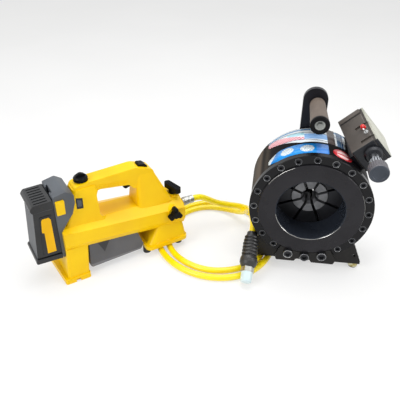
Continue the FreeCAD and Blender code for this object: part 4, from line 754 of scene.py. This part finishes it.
# Dust curtain: slit black rubber disc in the rear end of the piston's hub. It keeps chips out and lets no
# light through the dies; its flat black, seen in the gaps between them, is painted shade for the hub.
curtain_rubber = moulded("slit_curtain_rubber", ("#0d0d0e", "#151516"), 0.9, (0.55, 0.65), 0.02)
hub_bore, slit, sectors = 64.9, math.radians(0.8), 8
sweep = 2 * math.pi / sectors


def in_hub(across, up, back):
    """Point in the piston's hub in metres, from millimetres off its axis and back from the front."""
    return Vector((across, back, up + axis_height * 1000)) / 1000 + shift


for number in range(sectors):
    start = sweep * (number + 0.5) + slit
    turns = [start + (sweep - 2 * slit) * i / 10 for i in range(11)]
    sector = [(3 * math.cos(turns[5]), 3 * math.sin(turns[5]))]
    sector += [(hub_bore * math.cos(turn), hub_bore * math.sin(turn)) for turn in turns]
    solid_plate("dust_curtain_%d" % (number + 1), sector, in_hub, 132, 134, "piston",
                curtain_rubber, 0.0)


# Pump casing and the battery's two latches: signal yellow nylon, injection moulded with a fine
# sparked texture and a soft gloss.
pump_corner = shift + Vector((-0.4467, -0.106, 0))


def pump_axes(tree):
    """Coordinates along the pump (X), across it (Y) and up (Z), as one output and as three."""
    place = add(tree, "ShaderNodeTexCoord").outputs["Object"]
    moved = add(tree, "ShaderNodeVectorMath", {0: place, 1: pump_corner}, operation="SUBTRACT")
    spun = add(tree, "ShaderNodeMapping",
               {"Vector": moved.outputs["Vector"], "Rotation": (0, 0, -pump_turn)}).outputs["Vector"]
    return spun, add(tree, "ShaderNodeSeparateXYZ", {"Vector": spun}).outputs


yellow_plastic, tree = empty_material("moulded_yellow_nylon")
spun, _ = pump_axes(tree)
drift = add(tree, "ShaderNodeTexNoise", {"Vector": spun, "Scale": 12.0, "Detail": 3.0}).outputs["Fac"]
spark = add(tree, "ShaderNodeTexNoise", {"Vector": spun, "Scale": 700.0, "Detail": 1.0}).outputs["Fac"]
tone = drifting_tone(tree, drift, ("#f0c000", "#f7cd00"))
gloss = add(tree, "ShaderNodeMapRange", {"Value": drift, "To Min": 0.3, "To Max": 0.42})
finish_surface(tree, tone, gloss.outputs["Result"], (spark, 0.00003), Specular_IOR_Level=0.25)
wear(yellow_plastic, "pump_housing", "battery_latch_near", "battery_latch_far")


# Ridges: rows of small half sunk bars, moulded under the handle for the fingers and on top of
# the valve lever for the thumb.
ridges = bpy.data.node_groups.new("ridge_row", "GeometryNodeTree")
ridges.interface.new_socket("Geometry", in_out="OUTPUT", socket_type="NodeSocketGeometry")
ridge_inputs = open_inputs(ridges, {"Ridges": "Int", "First": "Vector", "Last": "Vector", "Length": "Float",
                                    "Half width": "Float", "Tilt": "Vector", "Finish": "Material"})
given = add(ridges, "NodeGroupInput").outputs
row = add(ridges, "GeometryNodeMeshLine", {"Count": given["Ridges"], "Start Location": given["First"],
                                           "Offset": given["Last"]}, mode="END_POINTS").outputs["Mesh"]
bar = add(ridges, "GeometryNodeMeshCylinder", {"Vertices": 10, "Radius": given["Half width"],
                                               "Depth": given["Length"]}).outputs["Mesh"]
spread = add(ridges, "GeometryNodeInstanceOnPoints",
             {"Points": row, "Instance": bar, "Rotation": given["Tilt"]})
real = add(ridges, "GeometryNodeRealizeInstances", {"Geometry": spread.outputs["Instances"]})
placed = add(ridges, "GeometryNodeTransform",
             {"Geometry": real.outputs["Geometry"], "Translation": pump_corner,
              "Rotation": (0, 0, pump_turn)})
dressed = add(ridges, "GeometryNodeSetMaterial",
              {"Geometry": placed.outputs["Geometry"], "Material": given["Finish"]})
add(ridges, "NodeGroupOutput", {"Geometry": dressed.outputs["Geometry"]})
for name, count, first, last, length, half, tilt, finish, body, slot in (
        ("handle_ridges_near", 21, (90, 30, 176.5), (148, 30, 168.5), 9, 0.7, (0, 35, 0), yellow_plastic,
         "set_frame", "yellow_plastic"),
        ("handle_ridges_far", 21, (90, 62, 176.5), (148, 62, 168.5), 9, 0.7, (0, 35, 0), yellow_plastic,
         "set_frame", "yellow_plastic"),
        ("lever_ridges", 9, (251.7, 17.4, 129), (244.3, 52.6, 129), 12.4, 1.0, (0, 90, 12), black_plastic,
         "valve", "black_plastic")):
    sizes = {"Ridges": count, "First": [v / 1000 for v in first], "Last": [v / 1000 for v in last],
             "Length": length / 1000, "Half width": half / 1000, "Tilt": [math.radians(v) for v in tilt],
             "Finish": finish}
    grown(name, ridges, ridge_inputs, sizes, body)


# Motor adapter, and the battery that slides on it: charcoal plastic case whose near side,
# bumper and top are glossy black, with a plain amber plate stuck on the near side.
grey_plastic = moulded("slate_grey_moulded_plastic", ("#474b51", "#555a60"), 0.9, (0.4, 0.52), 0.03)
wear(grey_plastic, "motor_adapter")
battery_plastic, tree = empty_material("charcoal_battery_plastic")
spun, axes = pump_axes(tree)
drift = add(tree, "ShaderNodeTexNoise", {"Vector": spun, "Scale": 22.0, "Detail": 3.0}).outputs["Fac"]
spark = add(tree, "ShaderNodeTexNoise", {"Vector": spun, "Scale": 900.0}).outputs["Fac"]
case = drifting_tone(tree, drift, ("#2d3136", "#383c42"))
black = drifting_tone(tree, drift, ("#121315", "#1d1f21"))
near_face = ((axes["Y"], 0.0, 0.0156), (axes["Z"], 0.083, 0.083))
bumper = ((axes["Z"], 0.0, 0.0690),)
top = ((axes["Z"], 0.2, 0.032),)
glossy = 0.0
for part in (near_face, bumper, top):
    glossy = add(tree, "ShaderNodeMath", {0: glossy, 1: within(tree, *part)},
                 operation="MAXIMUM").outputs["Value"]
colour = add(tree, "ShaderNodeMix", {0: glossy, 6: case, 7: black}, data_type="RGBA").outputs[2]
gloss = add(tree, "ShaderNodeMapRange", {"Value": glossy, "To Min": 0.46, "To Max": 0.26}).outputs["Result"]
finish_surface(tree, colour, gloss, (spark, 0.00003))
wear(battery_plastic, "battery_pack")
panel_black = moulded("gloss_black_side_panel", ("#0e0e10", "#19191c"), 1.5, (0.14, 0.24), 0.01)
amber_vinyl = moulded("amber_plate_vinyl", ("#e6ae00", "#f1bb04"), 1.5, (0.28, 0.38), 0.01,
                      Specular_IOR_Level=0.2)


def pump(along, across, up):
    """Point of the pump in metres, from millimetres along it, across it and up."""
    return pump_corner + Matrix.Rotation(pump_turn, 3, "Z") @ Vector((along, across, up)) / 1000


def near_side(along, up, across):
    """Point of a plate on the pump's near side, at a depth across it."""
    return pump(along, across, up)


def end_side(across, up, proud):
    """Point over the battery's sloping end face."""
    return pump(-36 - (178 - up) * 10 / 116 - proud, across, up)


solid_plate("battery_side_panel", [(-7.2, 72), (-7.2, 154), (-26.8, 154), (-32.4, 72)], near_side, 13.5, 14.0,
            "battery", panel_black, 0.0002)
solid_plate("battery_amber_plate", [(-9.4, 76), (-9, 147), (-12, 152), (-24, 152), (-26, 148), (-28.4, 124),
                                    (-24.4, 122), (-25.4, 76)], near_side, 13.2, 13.6,
            "battery", amber_vinyl, 0.0001)


# Latch window in the casing's left post, a grey plate in a black frame, and two small screws
# in the battery's end face.
def tower_side(along, up, proud):
    """Point over the near side of the casing's left post."""
    return pump(along, 14 + (up - 108) * 14 / 74 - proud, up)


solid_plate("latch_window_frame", [(42.5, 147), (55, 145.5), (56.5, 165), (44, 168)], tower_side, -0.3, 0.5,
            "set_frame", panel_black, 0.0002)
solid_plate("latch_window", [(45, 151), (52.4, 150), (53.8, 161.5), (46.2, 164)], tower_side, 0.3, 0.8,
            "set_frame", grey_plastic, 0.0002)
screw_head = 1.4
for number, (across, up) in enumerate(((50, 157), (49, 147))):
    ring = [(across + screw_head * math.cos(math.pi * i / 6), up + screw_head * math.sin(math.pi * i / 6))
            for i in range(12)]
    solid_plate("battery_end_screw_%d" % (number + 1), ring, end_side, -0.2, 0.35,
                "battery", panel_black, 0.0002)


# Oil tank: dark grey blow moulded plastic with a satin face, paler along its lower seam, and
# a plain triangular level mark moulded on the near side.
tank_plastic, tree = empty_material("blow_moulded_grey_plastic")
spun, axes = pump_axes(tree)
drift = add(tree, "ShaderNodeTexNoise", {"Vector": spun, "Scale": 16.0, "Detail": 3.0}).outputs["Fac"]
satin = drifting_tone(tree, drift, ("#49494c", "#56565a"))
colour = painted(tree, satin, "#707074", (axes["Z"], 0.0, 0.0212))
finish_surface(tree, colour, 0.34, (drift, 0.0001))
wear(tank_plastic, "oil_tank")
mark_grey = moulded("dark_level_mark_plastic", ("#242426", "#2e2e31"), 0.9, (0.4, 0.5), 0.02)
solid_plate("tank_level_mark", [(68, 68), (92, 66), (80, 42)], near_side, 6.7, 7.1,
            "set_frame", mark_grey, 0.0001)


# Dust cap on the thread of the hose's free end: pale polyethylene, thin enough to let a little
# light through.
cap_plastic = moulded("translucent_polyethylene", ("#d3eef2", "#eafafc"), 1.5, (0.25, 0.35), 0.02,
                      Transmission_Weight=0.2)
wear(cap_plastic, "thread_cap")
